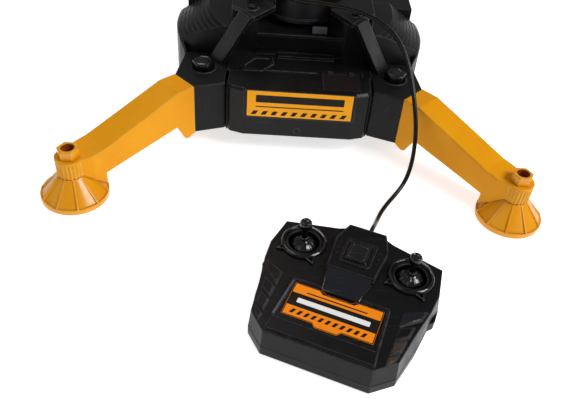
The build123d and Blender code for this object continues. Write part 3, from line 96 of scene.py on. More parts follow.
# ---------------------------------------------------------------- materials
class Shader:
    """A material being built; add() makes a node from a dict of its inputs."""

    def __init__(self, name):
        self.material = bpy.data.materials.new(name)
        self.material.use_nodes = True
        self.tree = self.material.node_tree
        self.tree.nodes.clear()
        self.output = self.add("ShaderNodeOutputMaterial", {})
        self.place = self.add("ShaderNodeTexCoord", {}).outputs["Object"]

    def add(self, kind, inputs, **settings):
        made = self.tree.nodes.new(kind)
        for key, value in settings.items():
            setattr(made, key, value)
        for key, value in inputs.items():
            if isinstance(value, bpy.types.NodeSocket):
                self.tree.links.new(value, made.inputs[key])
            else:
                made.inputs[key].default_value = value
        return made

    def noise(self, scale, detail=3.0, roughness=0.5, stretch=None, distortion=0.0):
        where = self.place
        if stretch:
            where = self.add("ShaderNodeMapping", {"Vector": where, "Scale": stretch,
                                                   "Rotation": (0.3, 0.5, 0.7)}).outputs[0]
        return self.add("ShaderNodeTexNoise", {"Vector": where, "Scale": scale, "Detail": detail,
                                               "Roughness": roughness, "Distortion": distortion}).outputs[0]

    def spread(self, value, low, high, to_low, to_high):
        return self.add("ShaderNodeMapRange", {"Value": value, "From Min": low, "From Max": high,
                                               "To Min": to_low, "To Max": to_high}).outputs[0]

    def math(self, operation, first, second):
        return self.add("ShaderNodeMath", {0: first, 1: second}, operation=operation).outputs[0]

    def mix(self, share, first, second):
        return self.add("ShaderNodeMix", {0: share, 6: first, 7: second}, data_type="RGBA").outputs[2]

    def edges(self, radius):
        """(rounded normal, a mask that is 1 along sharp edges)"""
        rounded = self.add("ShaderNodeBevel", {"Radius": radius}, samples=4).outputs[0]
        flat = self.add("ShaderNodeNewGeometry", {}).outputs["Normal"]
        along = self.add("ShaderNodeVectorMath", {0: rounded, 1: flat}, operation="DOT_PRODUCT").outputs["Value"]
        return rounded, self.spread(along, 0.98, 0.80, 0.0, 1.0)

    def finish(self, constants, **linked):
        sockets = {key.replace("_", " "): value for key, value in linked.items()}
        surface = self.add("ShaderNodeBsdfPrincipled", {**constants, **sockets})
        self.tree.links.new(surface.outputs[0], self.output.inputs["Surface"])
        return self.material


def rgb(red, green, blue):
    return (red, green, blue, 1.0)


def moulded(name, base, deep, wear_and_highlight, rough, grain=0.12, scratches=0.5, edge_wear_and_highlight=0.6, dust=0.0, soft=0.0009,
            constants=None):
    """Injection-moulded plastic: fine grain, flow clouds, hairline scratches, dust, and edges lightened partly by
    rubbed wear and partly as a painted highlight.
    """
    s = Shader(name)
    clouds = s.spread(s.noise(14, 4, 0.6), 0.3, 0.7, 0.0, 1.0)
    color = s.mix(clouds, base, deep)
    speck = s.spread(s.noise(420, 2, 0.7), 0.62, 0.78, 0.0, 0.35)
    color = s.mix(speck, color, deep)
    rounded, mask = s.edges(soft)
    broken = s.spread(s.noise(150, 3, 0.7), 0.35, 0.75, 0.25, 1.0)
    # edges mixed toward the lighter colour: partly rubbed wear, partly a painted highlight along the edges
    color = s.mix(s.math("MULTIPLY", s.math("MULTIPLY", mask, broken), edge_wear_and_highlight), color, wear_and_highlight)
    hair = s.noise(60, 2, 0.5, stretch=(0.6, 14.0, 9.0))
    lines = s.spread(hair, 0.66, 0.72, 0.0, scratches)
    color = s.mix(s.math("MULTIPLY", lines, 0.35), color, wear_and_highlight)
    if dust:
        up = s.add("ShaderNodeSeparateXYZ", {0: s.add("ShaderNodeNewGeometry", {}).outputs["Normal"]}).outputs[2]
        settled = s.math("MULTIPLY", s.spread(up, 0.5, 1.0, 0.0, dust), s.spread(s.noise(55, 5, 0.7), 0.35, 0.7, 0, 1))
        color = s.mix(settled, color, rgb(0.30, 0.29, 0.28))
    worn = s.spread(s.noise(85, 4, 0.6), 0.3, 0.7, rough - 0.05, rough + 0.09)
    worn = s.math("SUBTRACT", worn, s.math("MULTIPLY", lines, 0.10))
    height = s.math("ADD", s.noise(1900, 2, 0.6), s.math("MULTIPLY", s.noise(240, 2, 0.5), 0.6))
    height = s.math("SUBTRACT", height, s.math("MULTIPLY", lines, 0.5))
    bump = s.add("ShaderNodeBump", {"Strength": grain, "Distance": 0.0002, "Height": height, "Normal": rounded})
    return s.finish(constants or {}, Base_Color=color, Roughness=worn, Normal=bump.outputs[0])


def brushed(name, base, deep, rough, metal=1.0):
    s = Shader(name)
    streak = s.noise(60, 4, 0.6, stretch=(1.0, 1.0, 22.0))
    color = s.mix(s.spread(streak, 0.3, 0.7, 0, 1), base, deep)
    rounded, mask = s.edges(0.0005)
    color = s.mix(s.math("MULTIPLY", mask, 0.4), color, rgb(0.8, 0.8, 0.82))
    worn = s.spread(s.noise(180, 3, 0.6), 0.3, 0.7, rough - 0.06, rough + 0.1)
    bump = s.add("ShaderNodeBump", {"Strength": 0.1, "Distance": 0.0001, "Height": streak, "Normal": rounded})
    return s.finish({"Metallic": metal}, Base_Color=color, Roughness=worn, Normal=bump.outputs[0])


def sheath(name, base, deep, rough):
    """Flexible cable sheath: slightly rippled, with matte scuffs."""
    s = Shader(name)
    color = s.mix(s.spread(s.noise(30, 4, 0.6), 0.3, 0.7, 0, 1), base, deep)
    scuffs = s.spread(s.noise(210, 4, 0.7), 0.58, 0.75, 0.0, 0.5)
    color = s.mix(scuffs, color, rgb(0.03, 0.03, 0.033))
    worn = s.spread(s.noise(120, 3, 0.6), 0.3, 0.7, rough, rough + 0.15)
    bump = s.add("ShaderNodeBump", {"Strength": 0.25, "Distance": 0.0002, "Height": s.noise(260, 3, 0.6)})
    return s.finish({"Specular IOR Level": 0.28}, Base_Color=color, Roughness=worn, Normal=bump.outputs[0])


def braided(name, base, deep):
    """Thin braided line: crossing strands from two slanted waves."""
    s = Shader(name)
    strands = []
    for lean in (1.0, -1.0):
        where = s.add("ShaderNodeMapping", {"Vector": s.place, "Scale": (900.0, 900.0 * lean, 700.0)}).outputs[0]
        strands.append(s.add("ShaderNodeTexWave", {"Vector": where, "Scale": 1.0, "Distortion": 0.4},
                             bands_direction="DIAGONAL").outputs[1])
    weave = s.math("MAXIMUM", *strands)
    color = s.mix(weave, deep, base)
    bump = s.add("ShaderNodeBump", {"Strength": 0.6, "Distance": 0.0002, "Height": weave})
    worn = s.spread(s.noise(300, 2, 0.5), 0.3, 0.7, 0.6, 0.8)
    return s.finish({}, Base_Color=color, Roughness=worn, Normal=bump.outputs[0])


def printed(name, base, deep, rough=0.34):
    """Printed sticker film: faint mottling, tiny dots of missing ink, gentle ripple."""
    s = Shader(name)
    color = s.mix(s.spread(s.noise(45, 4, 0.6), 0.3, 0.7, 0, 1), base, deep)
    specks = s.spread(s.noise(900, 2, 0.6), 0.70, 0.78, 0.0, 0.5)
    color = s.mix(specks, color, deep)
    worn = s.spread(s.noise(130, 3, 0.6), 0.3, 0.7, rough - 0.05, rough + 0.12)
    bump = s.add("ShaderNodeBump", {"Strength": 0.12, "Distance": 0.0003, "Height": s.noise(90, 3, 0.5)})
    return s.finish({"Specular IOR Level": 0.12}, Base_Color=color, Roughness=worn, Normal=bump.outputs[0])


def clear_pane(name, tint):
    s = Shader(name)
    haze = s.spread(s.noise(70, 4, 0.6), 0.3, 0.8, 0.03, 0.16)
    bump = s.add("ShaderNodeBump", {"Strength": 0.05, "Distance": 0.0002, "Height": s.noise(40, 2, 0.5)})
    color = s.mix(s.spread(s.noise(25, 3, 0.5), 0.3, 0.7, 0, 1), tint, rgb(0.55, 0.62, 0.66))
    return s.finish({"Alpha": 0.35, "IOR": 1.45}, Base_Color=color, Roughness=haze, Normal=bump.outputs[0])


# the yellow's much lighter edge colour, at full strength, paints a highlight along the edges
YELLOW = dict(base=rgb(0.80, 0.342, 0.0032), deep=rgb(0.72, 0.280, 0.0026), wear_and_highlight=rgb(1.00, 0.66, 0.12),
              rough=0.30, grain=0.10, scratches=0.20, edge_wear_and_highlight=1.0, soft=0.0024,
              constants={"Specular IOR Level": 0.12})
materials = {
    # satin black: its lighter edge colour at full strength also paints a highlight along the edges
    "base_black": moulded("satin_black", rgb(0.0062, 0.0062, 0.0068), rgb(0.0040, 0.0040, 0.0045),
                          rgb(0.11, 0.11, 0.12), 0.34, grain=0.20, edge_wear_and_highlight=1.0, dust=0.006, scratches=0.35, soft=0.0018,
                          constants={"Specular IOR Level": 0.17}),
    # struts and upper platform: black with brighter painted highlights along their edges
    "strut_black": moulded("strut_black", rgb(0.0064, 0.0064, 0.0074), rgb(0.0042, 0.0042, 0.0050),
                           rgb(0.17, 0.17, 0.185), 0.28, grain=0.15, edge_wear_and_highlight=1.0, soft=0.0016,
                           constants={"Specular IOR Level": 0.17}),
    "window_blue": moulded("window_blue", rgb(0.0060, 0.0068, 0.0120), rgb(0.0030, 0.0032, 0.0060),
                           rgb(0.12, 0.12, 0.14), 0.08, grain=0.02, edge_wear_and_highlight=0.7,
                           constants={"Specular IOR Level": 0.6}),
    "bolt_black": moulded("bolt_black", rgb(0.0045, 0.0045, 0.0050), rgb(0.0028, 0.0028, 0.0032),
                          rgb(0.10, 0.10, 0.11), 0.20, grain=0.08, edge_wear_and_highlight=0.7,
                          constants={"Specular IOR Level": 0.5}),
    "leg_yellow": moulded("leg_yellow", **YELLOW),
    "foot_yellow": moulded("foot_yellow", **{**YELLOW, "rough": 0.20, "grain": 0.05, "soft": 0.0010,
                                             "constants": {"Specular IOR Level": 0.45}}),
    "lattice_yellow": moulded("lattice_yellow", **YELLOW),
    "cab_yellow": moulded("cab_yellow", **YELLOW),
    # controller black: its lighter edge colour at full strength also paints a highlight along the edges
    "tx_black": moulded("controller_black", rgb(0.0066, 0.0066, 0.0072), rgb(0.0042, 0.0042, 0.0047),
                        rgb(0.13, 0.13, 0.14), 0.32, grain=0.20, edge_wear_and_highlight=1.0, dust=0.002, scratches=0.3, soft=0.0018,
                        constants={"Specular IOR Level": 0.13}),
    "tx_gloss": moulded("controller_gloss", rgb(0.0036, 0.0036, 0.0044), rgb(0.0022, 0.0022, 0.0028),
                        rgb(0.10, 0.10, 0.11), 0.10, grain=0.03, edge_wear_and_highlight=0.6, scratches=0.6,
                        constants={"Specular IOR Level": 0.6}),
    "label_orange": printed("label_orange", rgb(0.93, 0.265, 0.007), rgb(0.86, 0.225, 0.006)),
    "label_yellow": printed("label_yellow", rgb(0.86, 0.370, 0.010), rgb(0.80, 0.320, 0.008)),
    "label_ink": printed("label_ink", rgb(0.008, 0.007, 0.006), rgb(0.014, 0.011, 0.008), 0.30),
    "label_white": printed("label_white", rgb(0.86, 0.86, 0.85), rgb(0.78, 0.78, 0.77)),
    "ballast_grey": moulded("ballast_grey", rgb(0.16, 0.16, 0.165), rgb(0.12, 0.12, 0.125),
                            rgb(0.36, 0.36, 0.36), 0.55, grain=0.5, edge_wear_and_highlight=0.6, dust=0.06),
    "drum_white": moulded("drum_white", rgb(0.66, 0.64, 0.58), rgb(0.58, 0.56, 0.50),
                          rgb(0.80, 0.79, 0.74), 0.35, grain=0.10, edge_wear_and_highlight=0.3),
    "board_green": moulded("board_green", rgb(0.02, 0.14, 0.05), rgb(0.015, 0.10, 0.04),
                           rgb(0.3, 0.4, 0.25), 0.35, grain=0.1),
    "motor_steel": brushed("motor_steel", rgb(0.52, 0.52, 0.53), rgb(0.42, 0.42, 0.43), 0.32),
    "rod_steel": brushed("rod_steel", rgb(0.50, 0.50, 0.52), rgb(0.38, 0.38, 0.40), 0.28),
    "cell_wrap": brushed("cell_wrap", rgb(0.10, 0.11, 0.13), rgb(0.07, 0.08, 0.10), 0.3, metal=0.3),
    "cable_black": sheath("cable_black", rgb(0.0045, 0.0045, 0.0050), rgb(0.0030, 0.0030, 0.0034), 0.20),
    "rope_cord": braided("rope_cord", rgb(0.10, 0.10, 0.11), rgb(0.02, 0.02, 0.02)),
    "pane": clear_pane("pane", rgb(0.35, 0.42, 0.46)),
    "trim_grey": moulded("trim_grey", rgb(0.060, 0.062, 0.078), rgb(0.045, 0.047, 0.060),
                         rgb(0.30, 0.31, 0.34), 0.30, grain=0.08, edge_wear_and_highlight=0.5),
    # deep orange-brown for painted shade inside the feet's stake holes
    "cap_painted_shade": moulded("cap_painted_shade", rgb(0.36, 0.075, 0.003), rgb(0.26, 0.048, 0.002),
                          rgb(0.6, 0.25, 0.02), 0.35, grain=0.10),
    # brown for painted reflections on two of the right grip pads
    "pad_reflection_brown": moulded("pad_reflection_brown", rgb(0.055, 0.038, 0.027), rgb(0.040, 0.028, 0.021),
                            rgb(0.16, 0.13, 0.11), 0.20, grain=0.06, edge_wear_and_highlight=0.6,
                            constants={"Specular IOR Level": 0.3}),
    "smoked": moulded("smoked", rgb(0.019, 0.013, 0.014), rgb(0.014, 0.010, 0.010),
                      rgb(0.08, 0.07, 0.07), 0.16, grain=0.05, edge_wear_and_highlight=0.5,
                      constants={"Specular IOR Level": 0.55}),
}
materials["housing_black"] = materials["base_black"]

SPECIAL_LOOKS = {"console_hatch": "smoked", "brace_struts": "strut_black", "upper_platform": "strut_black"}
for entry in frame["record"]["subparts"]:
    node = frame["nodes"][entry["node"]]
    node.data.materials.clear()
    node.data.materials.append(materials[SPECIAL_LOOKS.get(entry["node"], entry["material_slot"])])
control_cord.data.materials.append(materials["cable_black"])


# ---------------------------------------------------------------- making pieces
def piece(name, vertices, faces, body, slot, look=None, place=None, bevel=0.0, sharp=35.0, stands_for=()):
    """A mesh piece, given in millimetres in its own axes, set in place and riding on a body."""
    mesh = bpy.data.meshes.new(name)
    place = place or Matrix.Identity(4)
    mesh.from_pydata([place @ (Vector(v) * MM) for v in vertices], [], faces)
    mesh.validate()
    build = bmesh.new()
    build.from_mesh(mesh)
    bmesh.ops.recalc_face_normals(build, faces=build.faces)
    build.to_mesh(mesh)
    build.free()
    mesh.shade_smooth()
    mesh.set_sharp_from_angle(angle=math.radians(sharp))
    made = bpy.data.objects.new(name, mesh)
    bpy.context.scene.collection.objects.link(made)
    mesh.materials.append(materials[look or slot])
    if bevel:
        rounding = made.modifiers.new("bevel", "BEVEL")
        rounding.width = bevel * MM
        rounding.segments = 2
        rounding.limit_method = "ANGLE"
        rounding.angle_limit = math.radians(30)
    if body:
        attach(made, body)
    if stands_for:
        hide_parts(*stands_for)
    return made


def prisms(outlines, low, high):
    """Vertices and faces of upright prisms on plan outlines."""
    vertices, faces = [], []
    for outline in outlines:
        start, count = len(vertices), len(outline)
        vertices += [(x, y, low) for x, y in outline] + [(x, y, high) for x, y in outline]
        faces.append([start + i for i in range(count)][::-1])
        faces.append([start + count + i for i in range(count)])
        for i in range(count):
            j = (i + 1) % count
            faces.append([start + i, start + j, start + count + j, start + count + i])
    return vertices, faces


def rounded(half_x, half_y, radius, x=0.0, y=0.0, steps=4):
    """Outline of a rectangle with round corners."""
    points = []
    for quarter, (sx, sy) in enumerate(((1, 1), (-1, 1), (-1, -1), (1, -1))):
        for step in range(steps + 1):
            angle = math.radians(90 * (quarter + step / steps))
            points.append((x + sx * (half_x - radius) + radius * math.cos(angle),
                           y + sy * (half_y - radius) + radius * math.sin(angle)))
    return points


def frame_ring(outer, inner, low, high):
    """A flat ring between two outlines with equally many points."""
    count = len(outer)
    vertices = [(x, y, z) for z in (low, high) for ring in (outer, inner) for x, y in ring]
    faces = []
    for i in range(count):
        j = (i + 1) % count
        faces += [[i, j, 2 * count + j, 2 * count + i],
                  [count + i, count + j, 3 * count + j, 3 * count + i],
                  [i, j, count + j, count + i],
                  [2 * count + i, 2 * count + j, 3 * count + j, 3 * count + i]]
    return vertices, faces


def lathe(profile, steps=64, x=0.0, y=0.0, z=0.0, wave=None):
    """A profile of (radius, height) turned about Z; wave(step, height) adds to the radius."""
    closed = profile[0] == profile[-1]
    rows = profile[:-1] if closed else profile
    vertices, faces = [], []
    for radius, height in rows:
        for step in range(steps):
            angle = 2 * math.pi * step / steps
            reach = radius + (wave(step, height) if wave and radius > 0.01 else 0.0)
            vertices.append((x + reach * math.cos(angle), y + reach * math.sin(angle), z + height))
    for ring in range(len(profile) - 1):
        near, far = ring * steps, (ring + 1) % len(rows) * steps
        for step in range(steps):
            following = (step + 1) % steps
            faces.append([near + step, near + following, far + following, far + step])
    if not closed:
        faces.append(list(range(steps))[::-1])
        faces.append([(len(rows) - 1) * steps + step for step in range(steps)])
    return vertices, faces


def join(*shapes):
    vertices, faces = [], []
    for more_vertices, more_faces in shapes:
        start = len(vertices)
        vertices += more_vertices
        faces += [[start + i for i in face] for face in more_faces]
    return vertices, faces


def slanted(x0, x1, low, high, lean):
    """A parallelogram between two heights, leaning to the right by lean."""
    return [(x0, low), (x1, low), (x1 + lean, high), (x0 + lean, high)]


# ---------------------------------------------------------------- console's label
FRONT = Matrix(((1, 0, 0, 0), (0, 0, -1, -0.1316), (0, 1, 0, 0), (0, 0, 0, 1)))
LABEL_MIDDLE, LABEL_HALF = (1.0, 63.9), (55.0, 15.4)
piece("console_label", *prisms([rounded(*LABEL_HALF, 0.9, *LABEL_MIDDLE)], -0.2, 0.3), "base", "label_orange",
      look="label_yellow", place=FRONT)
middle = LABEL_MIDDLE[0]
for name, shapes in (("bars", [rounded(46.0, 4.4, 0.8, middle, 70.2)]),
                     ("dashes", [rounded(46.0, 0.6, 0.3, middle, 60.6)]),
                     ("stripes", [slanted(middle - 51 + 10.4 * i, middle - 46 + 10.4 * i, 50.6, 55.4, 3.0)
                                  for i in range(10)])):
    piece(f"console_label_{name}", *prisms(shapes, 0.2, 0.38), "base", "label_orange", look="label_ink", place=FRONT)


# ---------------------------------------------------------------- details of the base
for name, side in (("left", -1), ("right", 1)):
    strip = [(side * 75.2, -121.0), (side * 77.8, -116.2), (side * 77.8, -98.0), (side * 75.2, -98.0)]
    piece(f"console_seal_{name}", *prisms([strip], 21.0, 71.0), "base", "base_black", bevel=0.4)
    for end, row in ((-1, "front"), (1, "rear")):
        cap = [(11.6, 77.9), (12.0, 78.6), (12.0, 84.0), (11.0, 85.4), (8.4, 86.2), (7.8, 85.6), (0.6, 85.4)]
        piece(f"bolt_cap_{row}_{name}", *lathe(cap, 6, side * 103, end * 88), "base", "bolt_black", bevel=0.5)
tab = [(11.5, -56.2), (27.5, -55.4), (27.5, -53.4), (11.5, -54.2)]
piece("drum_tab", *prisms([tab], 107.1, 115.6), "base", "base_black", look="trim_grey", bevel=0.4)


# a foot has ten flat panels between ribs: radius over the ribs, where that is measured, and its taper
RIB_RADIUS, RIB_FOOT, RIB_TAPER = 31.8, 5, 0.875
HALF_PANEL = math.radians(18)
PANEL_STEPS, STEPS_EACH, STEP_DEGREES = 120, 12, 3
PANEL_BOW = 0.9


def panel_flat(height):
    """Distance of a foot's flat panel from the foot's axis."""
    return (RIB_RADIUS - RIB_TAPER * (height - RIB_FOOT)) * math.cos(HALF_PANEL)


def panel_bow(step, height):
    """What the flat panel adds beside its middle, and a bow that dies out at the ribs."""
    turn = math.radians(STEP_DEGREES * (step % STEPS_EACH - STEPS_EACH // 2))
    return panel_flat(height) * (1 / math.cos(turn) - 1) + PANEL_BOW * (1 - (turn / HALF_PANEL) ** 2)


for corner in ("front_left", "front_right", "rear_left", "rear_right"):
    foot = frame["nodes"][f"foot_{corner}"]
    corners = [foot.matrix_world @ Vector(spot) for spot in foot.bound_box]
    x, y = (sum(spot[axis] for spot in corners) / 8 / MM for axis in (0, 1))
    low, high = 5.3, 26.8
    panel = [(panel_flat(low) + 0.1, low), (panel_flat(high) + 0.1, high), (panel_flat(high) - 0.9, high),
             (panel_flat(low) - 0.9, low), (panel_flat(low) + 0.1, low)]
    piece(f"foot_panels_{corner}", *lathe(panel, PANEL_STEPS, x, y, wave=panel_bow), f"foot_{corner}", "foot_yellow")
    # a deep orange-brown tube inside each cap's stake hole: painted shade in the hole
    hole_shade = [(6.7, 30.0), (6.7, 56.2), (6.3, 56.2), (6.3, 30.0), (6.7, 30.0)]
    piece(f"cap_hole_shade_{corner}", *lathe(hole_shade, 48, x, y), f"foot_{corner}", "foot_yellow", look="cap_painted_shade")


# ---------------------------------------------------------------- hand controller
TX = Matrix.Translation((0.0624, -0.2874, 0)) @ Matrix.Rotation(math.radians(-21), 4, "Z")
TOP = 30.0
STICK_S, STICK_T, PIVOT = 49.0, -30.0, 22.0
for name, side in (("left", -1), ("right", 1)):
    s = side * STICK_S
    body = f"tx_stick_{name}"
    bezel = [(20.8, -0.3), (20.8, 1.6), (20.0, 3.2), (18.8, 3.9), (17.6, 3.6), (16.9, 2.6), (16.5, 1.2),
             (15.2, 0.4), (14.6, -0.4), (14.6, -2.0), (14.9, -2.0), (15.2, -0.3), (20.8, -0.3)]
    piece(f"stick_bezel_{name}", *lathe(bezel, 72, s, STICK_T, TOP), "base", "tx_gloss", place=TX)
    # raised chevrons beside the bezel
    marks = []
    for middle, half, length in ((-54, 13, 28.0), (-138, 12, 26.0)):
        apex, near, far = (math.radians(middle + turn) for turn in (0, -half, half))
        tip = (s + length * math.cos(apex), STICK_T + length * math.sin(apex))
        inner_tip = (s + (length - 3.4) * math.cos(apex), STICK_T + (length - 3.4) * math.sin(apex))
        for angle, turn_in in ((near, 1), (far, -1)):
            root = (s + 20 * math.cos(angle), STICK_T + 20 * math.sin(angle))
            inside = angle + turn_in * math.radians(6)
            root_in = (s + 20 * math.cos(inside), STICK_T + 20 * math.sin(inside))
            marks.append([root, tip, inner_tip, root_in])
    piece(f"stick_marks_{name}", *prisms(marks, TOP - 0.2, TOP + 2.4), "base", "tx_gloss", place=TX, bevel=0.3)
    # ribbed dome, shaft and knob, standing for the plain stick
    dome = [(13.3 * math.sin(math.radians(a)), 13.3 * math.cos(math.radians(a))) for a in range(64, 16, -4)]
    ribs = lathe(dome + [(3.9, 13.1), (3.7, 15.2), (3.0, 16.0)], 96, s, STICK_T, PIVOT,
                 wave=lambda step, height: 0.5 * (step % 8 in (0, 1, 2)) * (height < 12.6))
    shaft = lathe([(3.0, 14), (2.7, 17), (2.5, 24), (2.7, 26.4), (3.4, 27.0)], 32, s, STICK_T, PIVOT)
    knob = lathe([(3.0, 26.6), (4.6, 27.2), (5.3, 28.4), (5.5, 31.6), (5.2, 33.6), (4.3, 34.8), (3.4, 34.9),
                  (2.6, 34.2), (1.2, 34.0)], 48, s, STICK_T, PIVOT,
                 wave=lambda step, height: 0.22 * (step % 4 < 2) * (28 < height < 34))
    pin = lathe([(2.4, -6), (2.4, 14)], 24, s, STICK_T, PIVOT)
    piece(f"thumb_stick_{name}", *join(ribs, shaft, knob, pin), body, "tx_gloss", place=TX,
          stands_for=(f"tx_stick_{name}",))

# centre housing: frame round the button, side ticks, rim, and the sloping window below it
piece("button_frame", *frame_ring(rounded(14.5, 15.2, 3.5, 0, -26), rounded(11.4, 12.2, 1.6, 0, -26),
                                  TOP + 3.8, TOP + 5.0), "base", "tx_black", place=TX, bevel=0.35)
piece("button_cap", *join(prisms([rounded(9.9, 10.9, 1.8, 0, -26)], TOP + 5, TOP + 6.1),
                          frame_ring(rounded(7.6, 8.6, 2.2, 0, -26), rounded(6.6, 7.6, 1.6, 0, -26),
                                     TOP + 6.0, TOP + 6.6)),
      "tx_button", "tx_gloss", place=TX, bevel=0.25)
ticks = [rounded(1.5, 0.45, 0.3, side * 18.2, t) for side in (-1, 1) for t in (-19, -26, -33)]
piece("housing_ticks", *prisms(ticks, TOP + 3.9, TOP + 4.5), "base", "tx_gloss", place=TX)
rim_outer = [(17.4, 6.3), (24.4, -14), (21.4, -50.4), (-21.4, -50.4), (-24.4, -14), (-17.4, 6.3)]
rim_inner = [(16.0, 4.6), (22.6, -14.1), (19.8, -48.8), (-19.8, -48.8), (-22.6, -14.1), (-16.0, 4.6)]
piece("housing_rim", *frame_ring(rim_outer, rim_inner, TOP + 3.2, TOP + 4.7), "base", "tx_black", place=TX, bevel=0.4)
window = ([(-20.4, -50.2, TOP + 4.4), (20.4, -50.2, TOP + 4.4), (16.6, -77.2, TOP + 2.6), (-16.6, -77.2, TOP + 2.6),
           (-20.4, -50.2, TOP), (20.4, -50.2, TOP), (16.6, -77.2, TOP), (-16.6, -77.2, TOP)],
          [(0, 1, 2, 3), (7, 6, 5, 4), (0, 4, 5, 1), (1, 5, 6, 2), (2, 6, 7, 3), (3, 7, 4, 0)])
piece("signal_window", *window, "base", "tx_gloss", look="window_blue", place=TX, bevel=0.8)
# grip pads along the sides; three of the right side's pads carry painted reflections
GRIP_PADS = [[(53.5, -71), (71, -62), (68.5, -72.5), (53.5, -86)],
             [(53.2, -88.5), (65, -81.5), (63, -94.5), (53.2, -100.5)],
             [(52.8, -103), (62.3, -97), (61, -109.5), (52.8, -116)],
             [(52.3, -118.5), (60.3, -112), (58.5, -119.8), (52.3, -126)]]
# painted reflections on the right side's pads: the window's blue on the first, brown on the last two
PAD_REFLECTIONS = {"right_0": "window_blue", "right_2": "pad_reflection_brown", "right_3": "pad_reflection_brown"}
for name, side in (("left", -1), ("right", 1)):
    for index, pad in enumerate(GRIP_PADS):
        mid_s, mid_t = (sum(spot[axis] for spot in pad) / 4 for axis in (0, 1))
        plate = [(side * (mid_s + 0.86 * (s - mid_s)), mid_t + 0.86 * (t - mid_t)) for s, t in pad]
        piece(f"grip_plate_{name}_{index}", *prisms([plate], TOP + 0.8, TOP + 1.8), "base", "tx_black",
              look=PAD_REFLECTIONS.get(f"{name}_{index}"), place=TX, bevel=0.35)
# seam between the two shells, and a lighter grey bar on the left of the label's frame: a painted highlight on its lit
# slope
HALF = [(17, 8), (27, 3), (74.5, -8), (79, -40), (79, -52), (75, -57), (71, -86), (63, -120), (46.6, -134.47),
        (45.2, -135)]
SEAM_LINE = HALF + [(-s, t) for s, t in reversed(HALF)]
SEAM_MIDDLE = 64
SEAM_SIZES = (1.0022, 0.985)
seam_rings = [[(size * s, size * (t + SEAM_MIDDLE) - SEAM_MIDDLE) for s, t in SEAM_LINE] for size in SEAM_SIZES]
piece("shell_seam", *frame_ring(*seam_rings, 9.55, 10.25), "base", "tx_black", look="label_ink", place=TX)
# painted highlight: a lighter grey bar along the left slope of the label's frame
frame_highlight = [(-41.9, -76.5), (-40.2, -76.5), (-43.0, -116.0), (-44.9, -116.0)]
piece("label_frame_highlight", *prisms([frame_highlight], TOP + 2.0, TOP + 2.6),
      "base", "tx_black", look="trim_grey", place=TX, bevel=0.25)

# label plate: two plain bands, a plain white bar between them, a thin line and a row of slanted stripes
INK = TOP + 1.35
band_top = [(-37.5, -78.2), (-37.5, -87.6), (37.5, -87.6), (37.5, -78.2), (17, -78.2), (13.5, -81.2),
            (-13.5, -81.2), (-17, -78.2)]
band_low = [(-37.5, -101.4), (37.5, -101.4), (37.5, -111.2), (12.2, -111.2), (9, -114.6), (-9, -114.6),
            (-12.2, -111.2), (-37.5, -111.2)]
ground = [(-38.3, -77.7), (-38.3, -111.8), (-12, -111.8), (-9, -115.2), (9, -115.2), (12, -111.8), (38.3, -111.8),
          (38.3, -77.7), (14, -77.7), (11, -80.2), (-11, -80.2), (-14, -77.7)]
piece("label_ground", *prisms([ground], INK - 0.6, INK + 0.08), "base", "label_orange", look="label_ink", place=TX)
piece("label_bands", *prisms([band_top, band_low], INK - 0.2, INK + 0.16), "base", "label_orange", place=TX)
piece("label_blocks", *prisms([rounded(31.0, 2.5, 0.8, 0, -94.5)], INK - 0.2, INK + 0.2), "base", "label_orange",
      look="label_white", place=TX)
marks = [slanted(-33 + 6 * i, -30.2 + 6 * i, -108.8, -104.2, 2.2) for i in range(11)]
marks.append(rounded(26.0, 0.6, 0.3, 0, -84.6))
piece("label_marks", *prisms(marks, INK - 0.1, INK + 0.24), "base", "label_orange", look="label_ink", place=TX)


# ---------------------------------------------------------------- tower details
def turned(axis_y, axis_z, x=0.0):
    """Places a shape turned about Z so that it turns about X."""
    return Matrix.Translation((x * MM, axis_y * MM, axis_z * MM)) @ Matrix.Rotation(math.radians(90), 4, "Y")


winding = [(8.0, -19.3)]
for lap in range(28):
    z = -18.9 + 1.35 * lap
    winding += [(8.3, z - 0.55), (9.15, z - 0.25), (9.15, z + 0.25), (8.3, z + 0.55)]
winding.append((8.0, 19.3))
for name, y in (("hoist_drum", -88.0), ("trolley_drum", -128.0)):
    piece(f"{name}_rope", *lathe(winding, 40), name, "rope_cord", place=turned(y, 1114.0))


def pole(x, y, low, high, radius, rings=40, steps=12):
    return lathe([(radius, low + (high - low) * i / rings) for i in range(rings + 1)], steps, x, y)


falls = piece("hoist_falls", *join(pole(0, 293, 699, 1080.4, 0.6), pole(0, 307, 699, 1080.4, 0.6)), None,
              "rope_cord", stands_for=("hoist_rope",))
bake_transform(falls)

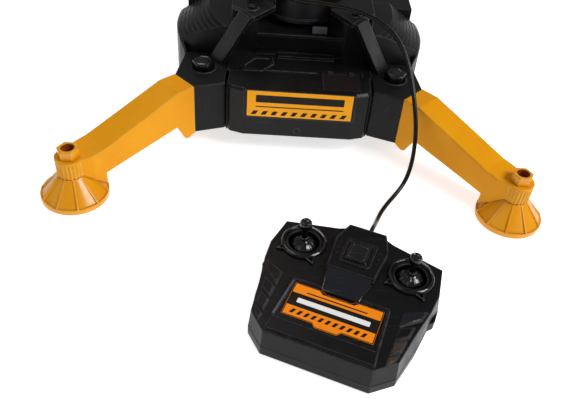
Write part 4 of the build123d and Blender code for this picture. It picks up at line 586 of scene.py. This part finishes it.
panes = [([(47.4, 52.9, 1098), (76.6, 52.9, 1098), (76.6, 46.6, 1130), (47.4, 46.6, 1130),
           (47.4, 51.9, 1097.6), (76.6, 51.9, 1097.6), (76.6, 45.6, 1129.6), (47.4, 45.6, 1129.6)],
          [(0, 1, 2, 3), (7, 6, 5, 4), (0, 4, 5, 1), (1, 5, 6, 2), (2, 6, 7, 3), (3, 7, 4, 0)]),
         ([(80.4, 7.5, 1101.5), (80.4, 38.5, 1101.5), (80.4, 38.5, 1130.5), (80.4, 7.5, 1130.5),
           (81.4, 7.5, 1101.5), (81.4, 38.5, 1101.5), (81.4, 38.5, 1130.5), (81.4, 7.5, 1130.5)],
          [(0, 1, 2, 3), (7, 6, 5, 4), (0, 4, 5, 1), (1, 5, 6, 2), (2, 6, 7, 3), (3, 7, 4, 0)])]
piece("cab_panes", *join(*panes), "tower", "cab_yellow", look="pane")


# ---------------------------------------------------------------- floor and light
floor_mesh = bpy.data.meshes.new("floor")
floor_mesh.from_pydata([(-6, -6, -0.0003), (6, -6, -0.0003), (6, 6, -0.0003), (-6, 6, -0.0003)], [], [(0, 1, 2, 3)])
floor = bpy.data.objects.new("floor", floor_mesh)
bpy.context.scene.collection.objects.link(floor)
paper = Shader("floor_paper")
shade = paper.mix(paper.noise(3, 3, 0.5), rgb(0.90, 0.90, 0.90), rgb(0.87, 0.87, 0.87))
floor_mesh.materials.append(paper.finish({"Roughness": 0.7, "Specular IOR Level": 0.2, "Emission Strength": 0.70,
                                          "Emission Color": rgb(1, 1, 1)}, Base_Color=shade))

world = bpy.data.worlds.new("studio")
world.use_nodes = True
world.node_tree.nodes["Background"].inputs[0].default_value = (1.0, 1.0, 1.0, 1.0)
world.node_tree.nodes["Background"].inputs[1].default_value = 0.20
bpy.context.scene.world = world
bpy.context.scene.view_settings.view_transform = "Standard"


def softbox(name, at, aim, size, power):
    data = bpy.data.lights.new(name, "AREA")
    data.shape = "SQUARE"
    data.size = size
    data.energy = power
    lamp = bpy.data.objects.new(name, data)
    lamp.matrix_world = (Matrix.Translation(at)
                         @ (Vector(at) - Vector(aim)).to_track_quat("Z", "Y").to_matrix().to_4x4())
    bpy.context.scene.collection.objects.link(lamp)


softbox("key", (1.45, -0.85, 1.60), (0.0, -0.15, 0.05), 1.0, 37)
softbox("fill", (-1.5, -0.9, 1.2), (0.0, -0.1, 0.1), 1.4, 3)
softbox("back", (-0.6, 1.0, 2.7), (0.0, 0.0, 0.4), 1.2, 22)


bpy.context.view_layer.update()
